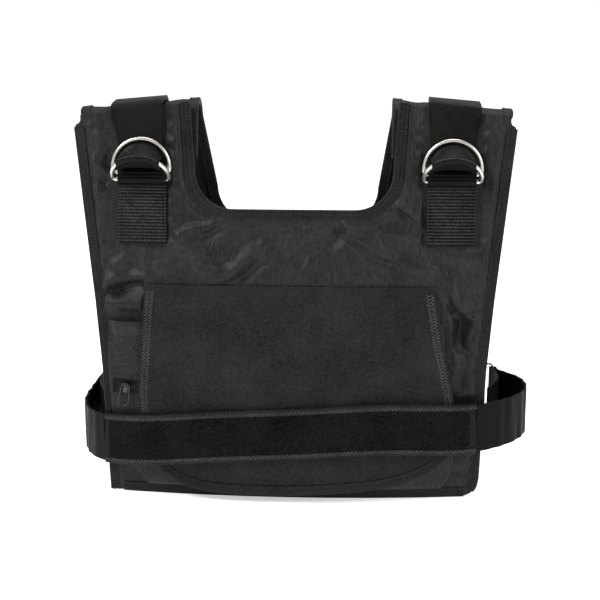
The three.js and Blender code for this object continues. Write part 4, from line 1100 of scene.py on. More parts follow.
        def seam(path: Points, towards: Points) -> Seam:
            """Makes a seam of an edge in the front's face, with the way in on one side of it."""
            x, z = path[:, 0], path[:, 1]
            edge = np.stack([x, SHAPE.front(x, z) + SHAPE.edge / 2, z], -1)
            turned = way_in(path, towards)
            inward = unit(np.stack([turned[:, 0], np.zeros(len(path)), turned[:, 1]], -1))
            return Seam(edge, inward, np.tile(FORWARD, (len(path), 1)))

        side = np.flatnonzero((stations > self.tape_start) & (stations <= self.corner))
        hem = np.flatnonzero(stations > self.corner + 1)
        rows, lift = [], tape.lift(SHAPE.edge / 2)
        for name, part in panel_seams(seam, inside, outside, side, hem).items():
            node = f"front_binding_{name}"
            tape.wrap(wardrobe, f"front_tape_{name}", part, SHAPE.edge / 2, node, "front_padding")
            rows.append(sewing.row(part.at(7.6, lift), part.off))
            if name != "hem":
                rows.append(sewing.row(part.at(3.2, lift), part.off, 55 if name != "neck" else 0))
        sewing.sew(wardrobe, "front_tape_thread", rows, wardrobe.finishes.faint_thread)


@dataclass
class BackPanel:
    """The padded back, which rolls over the shoulders and tucks inside the front, and its tapes."""

    spacing: float = 4.2
    rows: int = 56
    wall: int = 6
    corner: int = 15
    last: int = 20

    def outline(self, k: Points) -> tuple[Points, Points]:
        """Gives the neck's and the outline's places round half the panel, across and up the cloth."""
        stations = np.arange(self.last + 1)
        roll_share = np.interp(k, stations[: self.wall + 1], BACK_ROLL) * (SHAPE.roll_length + SHAPE.tuck)
        neck = np.interp(k, stations[self.wall :], BACK_NECK)
        half_top, on_roll = SHAPE.back_neck_half_top, k < self.wall
        top = float(SHAPE.roll(np.array(half_top))["back"])
        inside = SHAPE.neckline(neck, top, half_top, SHAPE.back_neck_half, SHAPE.back_neck_low)
        x_in = half_top + SHAPE.rim
        rise_in = SHAPE.roll(np.full_like(k, x_in))["back"] + roll_share
        inside = np.where(on_roll[:, None], np.stack([np.full_like(k, x_in), rise_in], -1), inside)
        x_out = SHAPE.back_top_half - SHAPE.rim
        top_out = float(SHAPE.roll(np.array(SHAPE.back_top_half))["back"])
        side = np.interp(k, stations[self.wall : self.corner + 1], BACK_SIDE) * top_out
        hem = np.interp(k, stations[self.corner :], BACK_HEM)
        half = SHAPE.back_hem_half + (SHAPE.back_top_half - SHAPE.back_hem_half) * side / top_out - SHAPE.rim
        at_side = k <= self.corner
        x = np.where(at_side, half, hem * (SHAPE.back_hem_half - SHAPE.rim))
        z = np.where(at_side, np.maximum(side, SHAPE.rim), SHAPE.rim)
        x = np.where(on_roll, x_out, x)
        z = np.where(on_roll, SHAPE.roll(np.full_like(k, x_out))["back"] + roll_share, z)
        return inside, np.stack([x, z], -1)

    def build(self, wardrobe: Wardrobe) -> None:
        """Builds the back and its tapes."""
        stations, signs = even_stations(self.outline, self.last, self.spacing)
        inside, outside = (p * np.stack([signs, np.ones_like(signs)], 1) for p in self.outline(stations))
        marks = np.linspace(0, 1, len(stations))
        across = np.linalg.norm(outside - inside, axis=1)

        def flat(s: Points, t: Points) -> tuple[Points, Points, Points]:
            """The place on the flat back, and how far it is from the nearest edge."""
            rows = [np.stack([np.interp(s, marks, p[:, k]) for k in (0, 1)], -1) for p in (inside, outside)]
            place = rows[0] + (rows[1] - rows[0]) * t[:, None]
            return place[:, 0], place[:, 1], np.minimum(t, 1 - t) * np.interp(s, marks, across)

        def surface(s: Points, t: Points) -> Points:
            """The outer face, with soft unevenness on the wall and small creases over the roll."""
            x, up, inset = flat(s, t)
            roll = SHAPE.roll(x)
            on_wall = 1 - ramp(up, roll["back"] - 40, roll["back"])
            on_roll = ramp(up, roll["back"], roll["back"] + 12) * (1 - ramp(up - roll["back"], 52, 62))
            free = ramp(SHAPE.from_strap(x), 26, 31)
            high = (1.1 * ripples(x, up * 0.8, 70, 12) + 0.3 * ripples(x, up, 24, 13)) * on_wall
            high = high + 1.1 * ripples(x * 0.4, up, 16, 14) * on_roll * free
            seat = 1 - (1 - ramp(SHAPE.from_strap(x), 24, 34)) * ramp(up, 290, 300)
            return SHAPE.back(x, up, -high * seat * SHAPE.off_ring(x, up, 132) * ramp(inset, 8, 18))

        panel = Bench.grid("back_padding", len(stations) - 1, self.rows, surface, (1, 1))
        x, up, inset = flat(*Bench.shares(len(stations), self.rows + 1))
        Bench.map_cloth(panel, np.stack([x, up], -1) * MM)
        low = 1 - ramp(up, 270, 292)
        free = ramp(inset, 10, 22) * low * SHAPE.off_ring(x, up, 130)
        Settling(growth=0.02, pressure=0.6, bending=0.8, cap=3.0).run(panel, 1 - free)
        depth = SHAPE.edge + (SHAPE.back_pad - SHAPE.edge) * ramp(inset, 9, 22)
        Bench.taper(panel, depth / SHAPE.back_pad)
        Bench.thicken(panel, SHAPE.back_pad, -1.0, "taper")
        Bench.finish(panel, angle=60)
        wardrobe.dress(panel, wardrobe.finishes.lining, "lining", "back_panel")
        self.tapes(wardrobe, inside, outside, stations)

    def tapes(self, wardrobe: Wardrobe, inside: Points, outside: Points, stations: Points) -> None:
        """Folds the tapes round the back's edges and sews them."""
        tape, sewing = EdgeTape(), Stitching()

        def seam(path: Points, towards: Points) -> Seam:
            """Makes a seam of an edge of the back, with the way in on one side of it."""
            inner = path + way_in(path, towards) * 0.5
            edge = SHAPE.back(path[:, 0], path[:, 1], SHAPE.edge / 2)
            inward = unit(SHAPE.back(inner[:, 0], inner[:, 1], SHAPE.edge / 2) - edge)
            off = unit(SHAPE.back(path[:, 0], path[:, 1]) - SHAPE.back(path[:, 0], path[:, 1], SHAPE.edge))
            return Seam(edge, inward, off)

        side = np.flatnonzero(stations <= self.corner)
        hem = np.flatnonzero(stations > self.corner + 1)
        rows, lift = [], tape.lift(SHAPE.edge / 2)
        for name, part in panel_seams(seam, inside, outside, side, hem).items():
            node = f"back_binding_{name}"
            tape.wrap(wardrobe, f"back_tape_{name}", part, SHAPE.edge / 2, node, "back_padding")
            rows.append(sewing.row(part.at(7.6, lift), part.off))
            rows.append(sewing.row(part.at(7.6, -lift), -part.off))
        sewing.sew(wardrobe, "back_tape_thread", rows, wardrobe.finishes.faint_thread)


@dataclass(frozen=True)
class Side:
    """One side's own small differences, as sewn and as worn, in millimetres."""

    name: str
    sign: int
    strap: float
    ring: float
    tab: float
    reach: float
    ring_height: float
    rise: float


SIDES = (
    Side("left", -1, 155.3, 150.5, 149.6, 221, 70, -5),
    Side("right", 1, 157.5, 155.6, 155, 238, 78, 2),
)


def arc(middle: Sequence[float], radius: float, start: float, end: float, steps: int) -> Points:
    """Gives points of an arc in a plane, its angles in degrees."""
    angle = np.radians(np.linspace(start, end, steps + 1))
    return np.stack([middle[0] + radius * np.cos(angle), middle[1] + radius * np.sin(angle)], -1)


def left_of(path: Points) -> Points:
    """Gives a flat path's unit normals, to the left of its direction."""
    before, after = np.vstack([path[:1], path[:-1]]), np.vstack([path[1:], path[-1:]])
    way = unit(after - before)
    return np.stack([-way[:, 1], way[:, 0]], -1)


@dataclass
class Webbing:
    """Webbing whose lengthwise lines each follow guide points of their own, and its length once woven."""

    thick: float = 1.8
    spacing: float = 2.0
    cells: int = 16
    ribs: float = 0.0
    pitch: float = 3.2
    length: float = field(default=0.0, init=False)

    def weave(self, name: str, guides: Sequence[Points], width: float) -> bpy.types.Object:
        """Lays webbing over guides, from one edge to the other.

        Args:
            name: The piece's name.
            guides: For each line across, its points along, in millimetres.
            width: The webbing's full width.

        Returns:
            The webbing, thickened.
        """
        marks = np.arange(len(guides[0]))
        fine = np.linspace(0, marks[-1], 14 * len(marks))
        lines = np.stack([np.stack([smooth(fine, marks, g[:, k]) for k in range(3)], -1) for g in guides])
        run = run_along(lines[len(guides) // 2])
        columns = max(4, round(run[-1] / self.spacing))
        order = np.arange(len(fine))
        even = np.interp(np.linspace(0, run[-1], columns + 1), run, order)
        lines = np.stack([[np.interp(even, order, line[:, k]) for k in range(3)] for line in lines])
        lines = np.moveaxis(lines, 1, 2)
        across, seats = np.linspace(0, len(guides) - 1, self.cells + 1), np.arange(len(guides))
        lay = np.stack([
            smooth(across, seats, lines[:, c, k]) for c in range(columns + 1) for k in range(3)
        ], -1).reshape(self.cells + 1, columns + 1, 3)
        if self.ribs:
            normal = unit(np.cross(np.gradient(lay, axis=1), np.gradient(lay, axis=0)))
            wave = np.sin(2 * math.pi * np.linspace(0, run[-1], columns + 1) / self.pitch)
            lay = lay + self.ribs * wave[None, :, None] * normal

        def surface(s: Points, t: Points) -> Points:
            """Reads the laid points."""
            return lay[np.round(t * self.cells).astype(int), np.round(s * columns).astype(int)]

        piece = Bench.grid(name, columns, self.cells, surface, (float(run[-1]), width))
        Bench.thicken(piece, self.thick)
        Bench.finish(piece, angle=50)
        self.length = float(run[-1])
        return piece


@dataclass
class Rings:
    """The two D-rings of each side, and the tab of ribbed webbing that holds their bars."""

    wire: float = 2.3
    arch: float = 27.9
    corner: float = 3.5
    height: float = 32.9
    bar_low: float = 320.7
    bar_step: float = 6.6
    bar_forward: float = 1.8
    clear: float = 0.7
    tilt: float = math.radians(42)
    tab_half: float = 23.7
    tab_low: float = 258.0
    tab_sewn: float = 314.0
    web: float = 1.8
    gap: float = 0.4

    def places(self, x: float) -> dict[str, tuple[Points, float, Points]]:
        """Where a side's rings hang: each one's bar, its lean and its arch's top, in y and z."""
        upper_z = self.bar_low + self.bar_step
        back = float(SHAPE.front(x, upper_z)) - self.gap * 2 - self.web - self.wire
        face_y = float(SHAPE.front(x, upper_z + self.height))
        arch_y = face_y - 2 * (self.web + self.gap) - self.clear - self.wire
        lean = math.asin((back - arch_y) / self.height)
        found = {}
        for name, bar, angle in (
            ("upper", (back, upper_z), lean), ("lower", (back - self.bar_forward, self.bar_low), self.tilt),
        ):
            tip = np.array(bar) + self.height * np.array([-math.sin(angle), math.cos(angle)])
            found[name] = (np.array(bar), angle, tip)
        return found

    def outline(self) -> Points:
        """The D's centre line, across and up, as even points."""
        straight, up = self.arch - self.corner, self.height - self.arch
        path = np.vstack([
            np.stack([np.linspace(-straight, straight, 40), np.zeros(40)], -1),
            arc((straight, self.corner), self.corner, -84, 0, 8),
            arc((0, up), self.arch, 0, 180, 90),
            arc((-straight, self.corner), self.corner, 180, 264, 8),
        ])
        return spaced(path, 97)[:-1]

    def build(self, wardrobe: Wardrobe, side: Side) -> None:
        """Builds a side's rings and tab."""
        places = self.places(side.sign * side.ring)
        outline = self.outline()
        for part, (bar, angle, _) in places.items():
            path = np.stack([
                side.sign * side.ring + outline[:, 0], bar[0] - outline[:, 1] * math.sin(angle),
                bar[1] + outline[:, 1] * math.cos(angle),
            ], -1)
            ring = Bench.ring(f"d_{part}_{side.name}", path, self.wire)
            wardrobe.dress(ring, wardrobe.finishes.nickel, "nickel", f"d_ring_{part}_{side.name}")
        turn = self.wire + self.gap + self.web / 2

        def line(aside: float) -> Points:
            """The tab's guide at a place across."""
            x = side.sign * side.tab + aside

            def on_face(z: float, layer: int) -> tuple[float, float]:
                """A point over the front's face."""
                stand = self.gap + self.web / 2 + layer * (self.web + self.gap)
                return float(SHAPE.front(x, z)) - stand, z

            mid = (self.tab_low + self.tab_sewn) / 2
            path = np.vstack([
                [on_face(z, 0) for z in (self.tab_low, mid, self.tab_sewn, self.bar_low)],
                arc(places["upper"][0], turn, 0, 160, 6), arc(places["lower"][0], turn, 165, 235, 3),
                [on_face(z, 1) for z in (self.tab_sewn - 1, mid, self.tab_low)],
            ])
            return np.column_stack([np.full(len(path), x), path])

        weaver = Webbing(self.web, 0.8, 14, ribs=0.26)
        shares = np.linspace(-1, 1, 5) * self.tab_half
        tab = weaver.weave(f"tab_webbing_{side.name}", [line(a) for a in shares], self.tab_half * 2)
        wardrobe.dress(tab, wardrobe.finishes.coarse, "webbing", f"ring_tab_{side.name}")
        self.sew(wardrobe, side)

    def sew(self, wardrobe: Wardrobe, side: Side) -> None:
        """Sews a box with a cross through the tab."""
        low, high, half = self.tab_low + 4, self.tab_sewn - 8, self.tab_half - 3
        mid = side.sign * side.tab
        box = [(-half, low), (half, low), (half, high), (-half, high), (-half, low), (half, high)]
        sewing, rows = Stitching(2.6, 0.9, 0.55), []
        for path in (box, [(half, low), (-half, high)]):
            for (x0, z0), (x1, z1) in zip(path[:-1], path[1:]):
                x, z = mid + np.linspace(x0, x1, 12), np.linspace(z0, z1, 12)
                y = SHAPE.front(x, z) - self.gap - 2 * self.web - self.gap - 0.25
                rows.append(sewing.row(np.stack([x, y, z], -1), np.tile(FORWARD, (12, 1))))
        sewing.sew(wardrobe, f"tab_thread_{side.name}", rows, wardrobe.finishes.dark_thread)


@dataclass
class ShoulderStrap:
    """A strap: sewn to the back, over the roll, round the lower ring and back over itself."""

    half: float = 25.2
    fold_half: float = 21.0
    arch: float = 1.5
    sewn: float = 300.0
    tail: float = 338.0
    over: tuple[tuple[float, float], ...] = ((8, 0), (30, 0.45), (52, 0.85), (74, 1), (96, 1))
    stops: int = 3
    tail_stops: int = 9

    def guide(self, side: Side, rings: Rings, share: float) -> Points:
        """The strap's line at a share across: its points along, in millimetres."""
        hung = rings.places(side.sign * side.ring)
        (_, utilt, utip), (_, ltilt, ltip) = hung["upper"], hung["lower"]
        lift, layer = rings.gap + rings.web / 2, rings.web + rings.gap
        turn = rings.wire + lift
        x = side.sign * side.strap + share * self.half
        roll = {key: float(value) for key, value in SHAPE.roll(np.array(x)).items()}

        def on_back(z: float) -> tuple[float, float]:
            """A point over the back's face."""
            place = SHAPE.back(np.array(x), np.array(z), -lift)
            return float(place[1]), float(place[2])

        def on_front(z: float) -> tuple[float, float]:
            """A point over the front's face."""
            return float(SHAPE.front(x, z)) - lift, z

        radius = SHAPE.roll_radius + lift
        arch = [(roll["y"] + (radius + a * self.arch) * math.cos(math.radians(d)),
                 roll["z"] + (radius + a * self.arch) * math.sin(math.radians(d))) for d, a in self.over]
        top = float(SHAPE.shoulder(x))
        edge_y = float(SHAPE.front(x, top))
        main = np.array([
            on_back(self.sewn), on_back(self.tail), *arch,
            (edge_y + 2.1, top + lift + 2.2), (edge_y - 0.8, top + 1.2), on_front(top - 8),
            on_front(top + (utip[1] - top) * 0.55), on_front(utip[1] - 3), on_front(utip[1] - 11),
        ])
        tail = (main - layer * left_of(main))[1 : self.tail_stops + 2][::-1]
        sag = rings.bar_low + rings.bar_step + turn + rings.gap + rings.web + 1
        apart = ltip[0] - utip[0]
        slack = np.array([(utip[0] + 1, sag + 3.5), (utip[0] - 6, sag), (utip[0] + apart * 0.6, sag + 1)])
        fold = arc(ltip, turn + rings.clear / 4, -50, -280, 6)
        bridge = np.vstack([
            [(utip[0] + apart * 0.4, utip[1] - turn - 2.6)], arc(utip, turn + rings.clear, -100, -5, 3),
        ])
        path = np.vstack([main, slack, fold, bridge, tail])
        facing = left_of(path)
        fold_from = len(main) + len(slack)
        bridge_from, tail_from = fold_from + len(fold), fold_from + len(fold) + len(bridge)
        points = np.zeros((len(path), 3))
        for k, place in enumerate(path):
            away = len(main) - 1 - k if k < len(main) else k - tail_from + 1
            gathered = min(max(1 - away / self.stops, 0), 1)
            tip, tilt = (ltip, ltilt) if k < bridge_from else (utip, utilt)
            up = np.array([-math.sin(tilt), math.cos(tilt)])
            wraps = 1.0 if fold_from <= k < tail_from else 0.4 if k == fold_from - 1 else 0.0
            if k >= tail_from:
                wraps = gathered
                up = np.array([-facing[k][1], facing[k][0]]) * -np.sign(facing[k][0])
            outside = min(max(float((place - tip) @ up), -turn - rings.clear), turn)
            fall_radius = rings.arch + outside
            fall = wraps * (fall_radius - math.sqrt(fall_radius**2 - (share * self.fold_half) ** 2))
            across = x + (side.sign * side.ring + share * self.fold_half - x) * gathered
            points[k] = (across, place[0] - up[0] * fall, place[1] - up[1] * fall)
        return points

    def build(self, wardrobe: Wardrobe, side: Side, rings: Rings) -> None:
        """Builds a side's strap."""
        guides = [self.guide(side, rings, share) for share in np.linspace(-1, 1, 9)]
        weaver = Webbing(rings.web, 1.8, 24)
        strap = weaver.weave(f"strap_webbing_{side.name}", guides, self.half * 2)
        wardrobe.dress(strap, wardrobe.finishes.strap, "webbing", f"shoulder_strap_{side.name}")
        rows = []
        for z in (self.sewn + 6, self.sewn + 30):
            x = side.sign * side.strap + np.linspace(-self.half + 3, self.half - 3, 12)
            line = SHAPE.back(x, np.full(12, z), -(rings.gap + rings.web + 0.3))
            rows.append(Stitching().row(line, np.tile(BACKWARD, (12, 1))))
        fold = len(self.over) + 15
        line = np.array([self.guide(side, rings, share)[fold] for share in np.linspace(-0.86, 0.86, 9)])
        off = unit(np.stack([np.zeros(9), np.full(9, -0.6), np.full(9, 0.8)], -1))
        rows.append(Stitching(2.0, 0.8, 0.34).row(line + off * 1.15, off))
        Stitching().sew(wardrobe, f"strap_thread_{side.name}", rows, wardrobe.finishes.thread)


@dataclass
class Pocket:
    """The pouch, its patch of pile, its zip, and the flap over it."""

    low: float = 9.5
    mouth: float = 180.0
    half: float = 186.0
    wall: float = 1.6
    clear: float = 4.2
    seat: float = 1.8
    bulge: float = 16.2
    bulge_fall: float = 4.7
    flap_half: float = 150.0
    flap: float = 1.8
    rungs_above: float = 88.0
    patch: tuple[float, float, float, float] = (-184.5, -150.5, 125, 173)
    zip_line: tuple[float, float, float, float] = (-182, -112, 106.5, 119.5)
    slider: tuple[float, float] = (-168.0, 113.0)
    lug: tuple[float, float] = (3.35, 3.2)
    zip_web: float = 1.2
    zip_bunch: float = 1.1
    teeth: tuple[float, float, float] = (-162.0, -114.0, 1.1)
    gap: float = 0.5

    def stand(self, x: Points, z: Points) -> Points:
        """How far the flap's inner face stands off the panel."""
        heights, outs = [0, 0.3, 0.55, 0.72, 0.86, 0.95, 1], [1.04, 1, 0.94, 0.9, 0.74, 0.4, 0.035]
        across = self.bulge - self.bulge_fall * np.abs(x / self.flap_half) ** 3
        return np.maximum(across * smooth(z / SHAPE.seam, heights, outs), self.gap)

    def depth(self, x: Points, z: Points) -> Points:
        """How deep the pouch is at a place."""
        return np.maximum(self.stand(x, z) - self.clear - self.seat, self.wall)

    def sides(self, z: Points) -> tuple[Points, Points]:
        """The pouch's side edges at a height."""
        heights = [0.05, 0.11, 0.18, 0.35, 0.6, 1]
        at = z / self.mouth
        return (self.half * smooth(at, heights, [-0.79, -0.84, -0.89, -0.96, -1, -1]),
                self.half * smooth(at, heights, [0.8, 0.85, 0.87, 0.865, 0.84, 0.8]))

    @staticmethod
    def across_out(across: Points) -> Points:
        """How far out the pouch is at a share across, 0 to 1."""
        places = [0, 0.008, 0.03, 0.08, 0.2, 0.5, 0.8, 0.92, 0.97, 0.992, 1]
        return smooth(across, places, [0, 0.5, 0.8, 0.95, 1, 1, 1, 0.97, 0.85, 0.5, 0])

    def face(self, x: Points, z: Points) -> Points:
        """The pouch's outer face: its y at a place."""
        left, right = self.sides(z)
        out = self.across_out(np.clip((x - left) / (right - left), 0, 1))
        return SHAPE.front(x, z) - self.depth(x, z) * out - self.seat

    def pouch_at(self, s: Points, t: Points) -> Points:
        """A point of the pouch's cloth."""
        share = 0.5 - 0.5 * np.cos(math.pi * s) * (1 - 0.35 * np.sin(math.pi * s) ** 2)
        up_out = smooth(t, [0, 0.015, 0.06, 0.2, 0.42, 1], [0, 0.5, 0.85, 1, 1, 1])
        out = np.minimum(self.across_out(share), up_out)
        z = self.low + (self.mouth - self.low) * t
        left, right = self.sides(z)
        x = left + (right - left) * share
        gape = 5.5 * ramp(z, 152, 180) * ramp(-x, 138, 160) * ramp(x, -186, -176)
        uneven = 0.5 * ripples(x, z, 34, 21) * out * ramp(1 - t, 0, 0.1) + gape
        return np.stack([x, SHAPE.front(x, z) - self.depth(x, z) * out - self.seat - uneven, z], -1)

    def flap_at(self, s: Points, t: Points, off: float = 0.0) -> Points:
        """A point of the flap's cloth."""
        columns = [0, 0.036, 0.09, 0.17, 0.28, 0.4, 0.5, 0.6, 0.72, 0.83, 0.91, 0.964, 1]
        bottoms = [0.225, 0.145, 0.092, 0.06, 0.048, 0.047, 0.049, 0.055, 0.069, 0.091, 0.128, 0.17, 0.225]
        z = SHAPE.seam * (1 + (smooth(s, columns, bottoms) - 1) * t)
        heights = [0, 0.22, 0.42, 0.75, 1]
        left = self.flap_half * smooth(z / SHAPE.seam, heights, [-0.93, -0.96, -1.015, -1, -0.975])
        right = self.flap_half * smooth(z / SHAPE.seam, heights, [0.98, 1.04, 1.07, 0.985, 0.925])
        x = left + (right - left) * s
        swell = 0.35 * ripples(x, z, 85, 31) * ramp(np.minimum(t, 1 - t), 0, 0.15)
        return np.stack([x, SHAPE.front(x, z) - self.stand(x, z) - self.flap / 2 - swell - off, z], -1)

    def on_pouch(
        self, name: str, box: Sequence[float], thick: float, cells: tuple[int, int], wave: float = 0.0
    ) -> bpy.types.Object:
        """Lays a strip on the pouch.

        Args:
            name: The strip's name.
            box: Its left and right, and its lower and upper edge.
            thick: Its thickness.
            cells: How many cells it has along and up.
            wave: How far its cloth bunches up, except under the slider.

        Returns:
            The strip.
        """
        left, right, low, high = box

        def surface(s: Points, t: Points) -> Points:
            """The strip's inner face."""
            x, z = left + (right - left) * s, low + (high - low) * t
            calm = 1 - np.exp(-(((x - self.slider[0]) / 6) ** 2))
            bunches = 1 + np.sin(x / 3.1 + np.sin(x / 9))
            rise = wave * calm * bunches * np.sin(math.pi * np.clip(t, 0.15, 0.85))
            return np.stack([x, self.face(x, z) - self.gap - rise, z], -1)

        piece = Bench.grid(name, *cells, surface, (right - left, high - low))
        Bench.thicken(piece, thick, 1.0)
        return Bench.finish(piece, angle=50)

    def build(self, wardrobe: Wardrobe) -> None:
        """Builds the pouch and all that is on it, then the flap."""
        finishes = wardrobe.finishes
        pouch = Bench.grid("pouch_cloth", 150, 64, self.pouch_at, (1, 1))
        Bench.lay_out(pouch, 151, 65)
        area, size = Bench.flat_size(pouch)
        Bench.thicken(pouch, self.wall, -1.0)
        Bench.finish(pouch, angle=60)
        wardrobe.dress(pouch, finishes.nylon, "nylon", "pocket_pouch")
        patch = self.on_pouch("patch_pile", self.patch, 1.4, (24, 34))
        wardrobe.dress(patch, finishes.loops, "pile", "pile_patch")
        self.zip(wardrobe)
        flap = Bench.grid("flap_cloth", 150, 96, self.flap_at, (1, 1))
        Bench.lay_out(flap, 151, 97)
        area, size = Bench.flat_size(flap)
        Bench.thicken(flap, self.flap)
        Bench.finish(flap, angle=60)
        wardrobe.dress(flap, finishes.flap, "nylon", "pocket_flap")
        self.bind_flap(wardrobe)

    def bind_flap(self, wardrobe: Wardrobe) -> None:
        """Folds the tape round the flap's free edges and sews it."""
        t = np.linspace(0.04, 1, 48)
        s = np.linspace(0, 1, 96)
        border = np.vstack([
            self.flap_at(np.zeros(47), t[:-1]), self.flap_at(s, np.ones(96)),
            self.flap_at(np.ones(47), t[:-1][::-1]),
        ])
        edge = along(border, 2.0)
        way = unit(np.gradient(edge, axis=0))
        off = np.tile(FORWARD, (len(edge), 1))
        inward = unit(np.cross(way, off))
        middle = np.array([5.0, edge[:, 1].mean(), 120.0])
        inward = inward * np.sign(np.sum(inward * (middle - edge), axis=1))[:, None]
        across = np.cross(inward, way)
        seam = Seam(edge, inward, unit(across) * np.sign(np.sum(across * off, axis=1))[:, None])
        tape, sewing = EdgeTape(), Stitching()
        tape.wrap(wardrobe, "flap_tape", seam, self.flap / 2, "flap_binding", "flap_cloth")
        lift = tape.lift(self.flap / 2)
        ladder = Stitching(4.6, -3.0, 0.24)
        high = edge[:, 2] > self.rungs_above
        rungs = [
            ladder.row(seam.at(inset, lift)[part], seam.off[part], 74) for inset in (2.8, 6.8)
            for part in (high & (edge[:, 0] < 0), high & (edge[:, 0] > 0))
        ]
        ladder.sew(wardrobe, "flap_rungs", rungs, wardrobe.finishes.thread)
        rows = [sewing.row(seam.at(4.8, lift)[~high], seam.off[~high])]
        x = np.linspace(-self.flap_half * 0.97, self.flap_half * 0.92, 60)
        for drop in (2.2, 8.5):
            z = np.full(60, SHAPE.seam - drop)
            y = SHAPE.front(x, z) - self.stand(x, z) - self.flap - 0.15
            rows.append(sewing.row(np.stack([x, y, z], -1), np.tile(FORWARD, (60, 1))))
        sewing.sew(wardrobe, "flap_thread", rows, wardrobe.finishes.dark_thread)

    def zip(self, wardrobe: Wardrobe) -> None:
        """Lays the zip's tape and teeth, and hangs its pull."""
        tape = self.on_pouch("zip_cloth", self.zip_line, self.zip_web, (90, 12), self.zip_bunch)
        wardrobe.dress(tape, wardrobe.finishes.strap, "webbing", "zip_tape")
        bpy.ops.object.select_all(action="DESELECT")
        bpy.ops.mesh.primitive_cube_add(size=1)
        tooth = bpy.context.active_object
        Bench.place(tooth, Bench.points(tooth) * np.array([0.8, 1.0, 2.4]) * MM)
        Bench.modify(tooth, "BEVEL", width=0.2 * MM, segments=1)
        places = []
        for k, x in enumerate(np.arange(*self.teeth)):
            z = self.slider[1] + (0.7 if k % 2 else -0.7)
            y = float(self.face(np.array([x]), np.array([z]))[0]) - self.gap - self.zip_web - 0.9
            places.append(Matrix.Translation(Vector(Bench.to_part(np.array([x, y, z])))))
        wardrobe.dress(Bench.copies("zip_teeth", tooth, places), wardrobe.finishes.dark_metal, "black_metal")
        self.pull(wardrobe)

    def pull(self, wardrobe: Wardrobe) -> None:
        """Bends the pull's wire loop, which hangs from the slider's lug."""
        wire, top, wide, length, turn = 0.85, 3.6, 5.2, 23.0, 0.17
        low = -(length - wide)
        half_way = top + (wide - top) * 0.6
        corners = np.array([
            (-top * 0.5, 0), (top * 0.5, 0), (top, -wire), (half_way, low / 2), (wide, low),
            (wide * 0.7, low - wide * 0.7), (0, low - wide), (-wide * 0.7, low - wide * 0.7), (-wide, low),
            (-half_way, low / 2), (-top, -wire),
        ])
        looped = np.vstack([corners[-3:], corners, corners[:3]])
        fine = np.linspace(3, len(corners) + 3, 1200)
        path = np.stack([smooth(fine, np.arange(len(looped)), looped[:, k]) for k in (0, 1)], -1)
        path = spaced(path, 65)[:-1]
        x, z = self.slider
        seat = float(self.face(np.array([x]), np.array([z]))[0]) - 2 * self.gap - self.zip_web - self.gap
        out, up = self.lug
        local = np.stack([path[:, 0], np.full(64, -out), up + path[:, 1]], -1)
        turned = np.stack([
            local[:, 0] * math.cos(turn) + local[:, 2] * math.sin(turn), local[:, 1],
            local[:, 2] * math.cos(turn) - local[:, 0] * math.sin(turn),
        ], -1)
        loop = Bench.ring("pull_wire", turned + np.array([x, seat, z]), wire, 10)
        wardrobe.dress(loop, wardrobe.finishes.dark_metal, "black_metal", "zip_pull")
        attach(loop, "zip_pull")


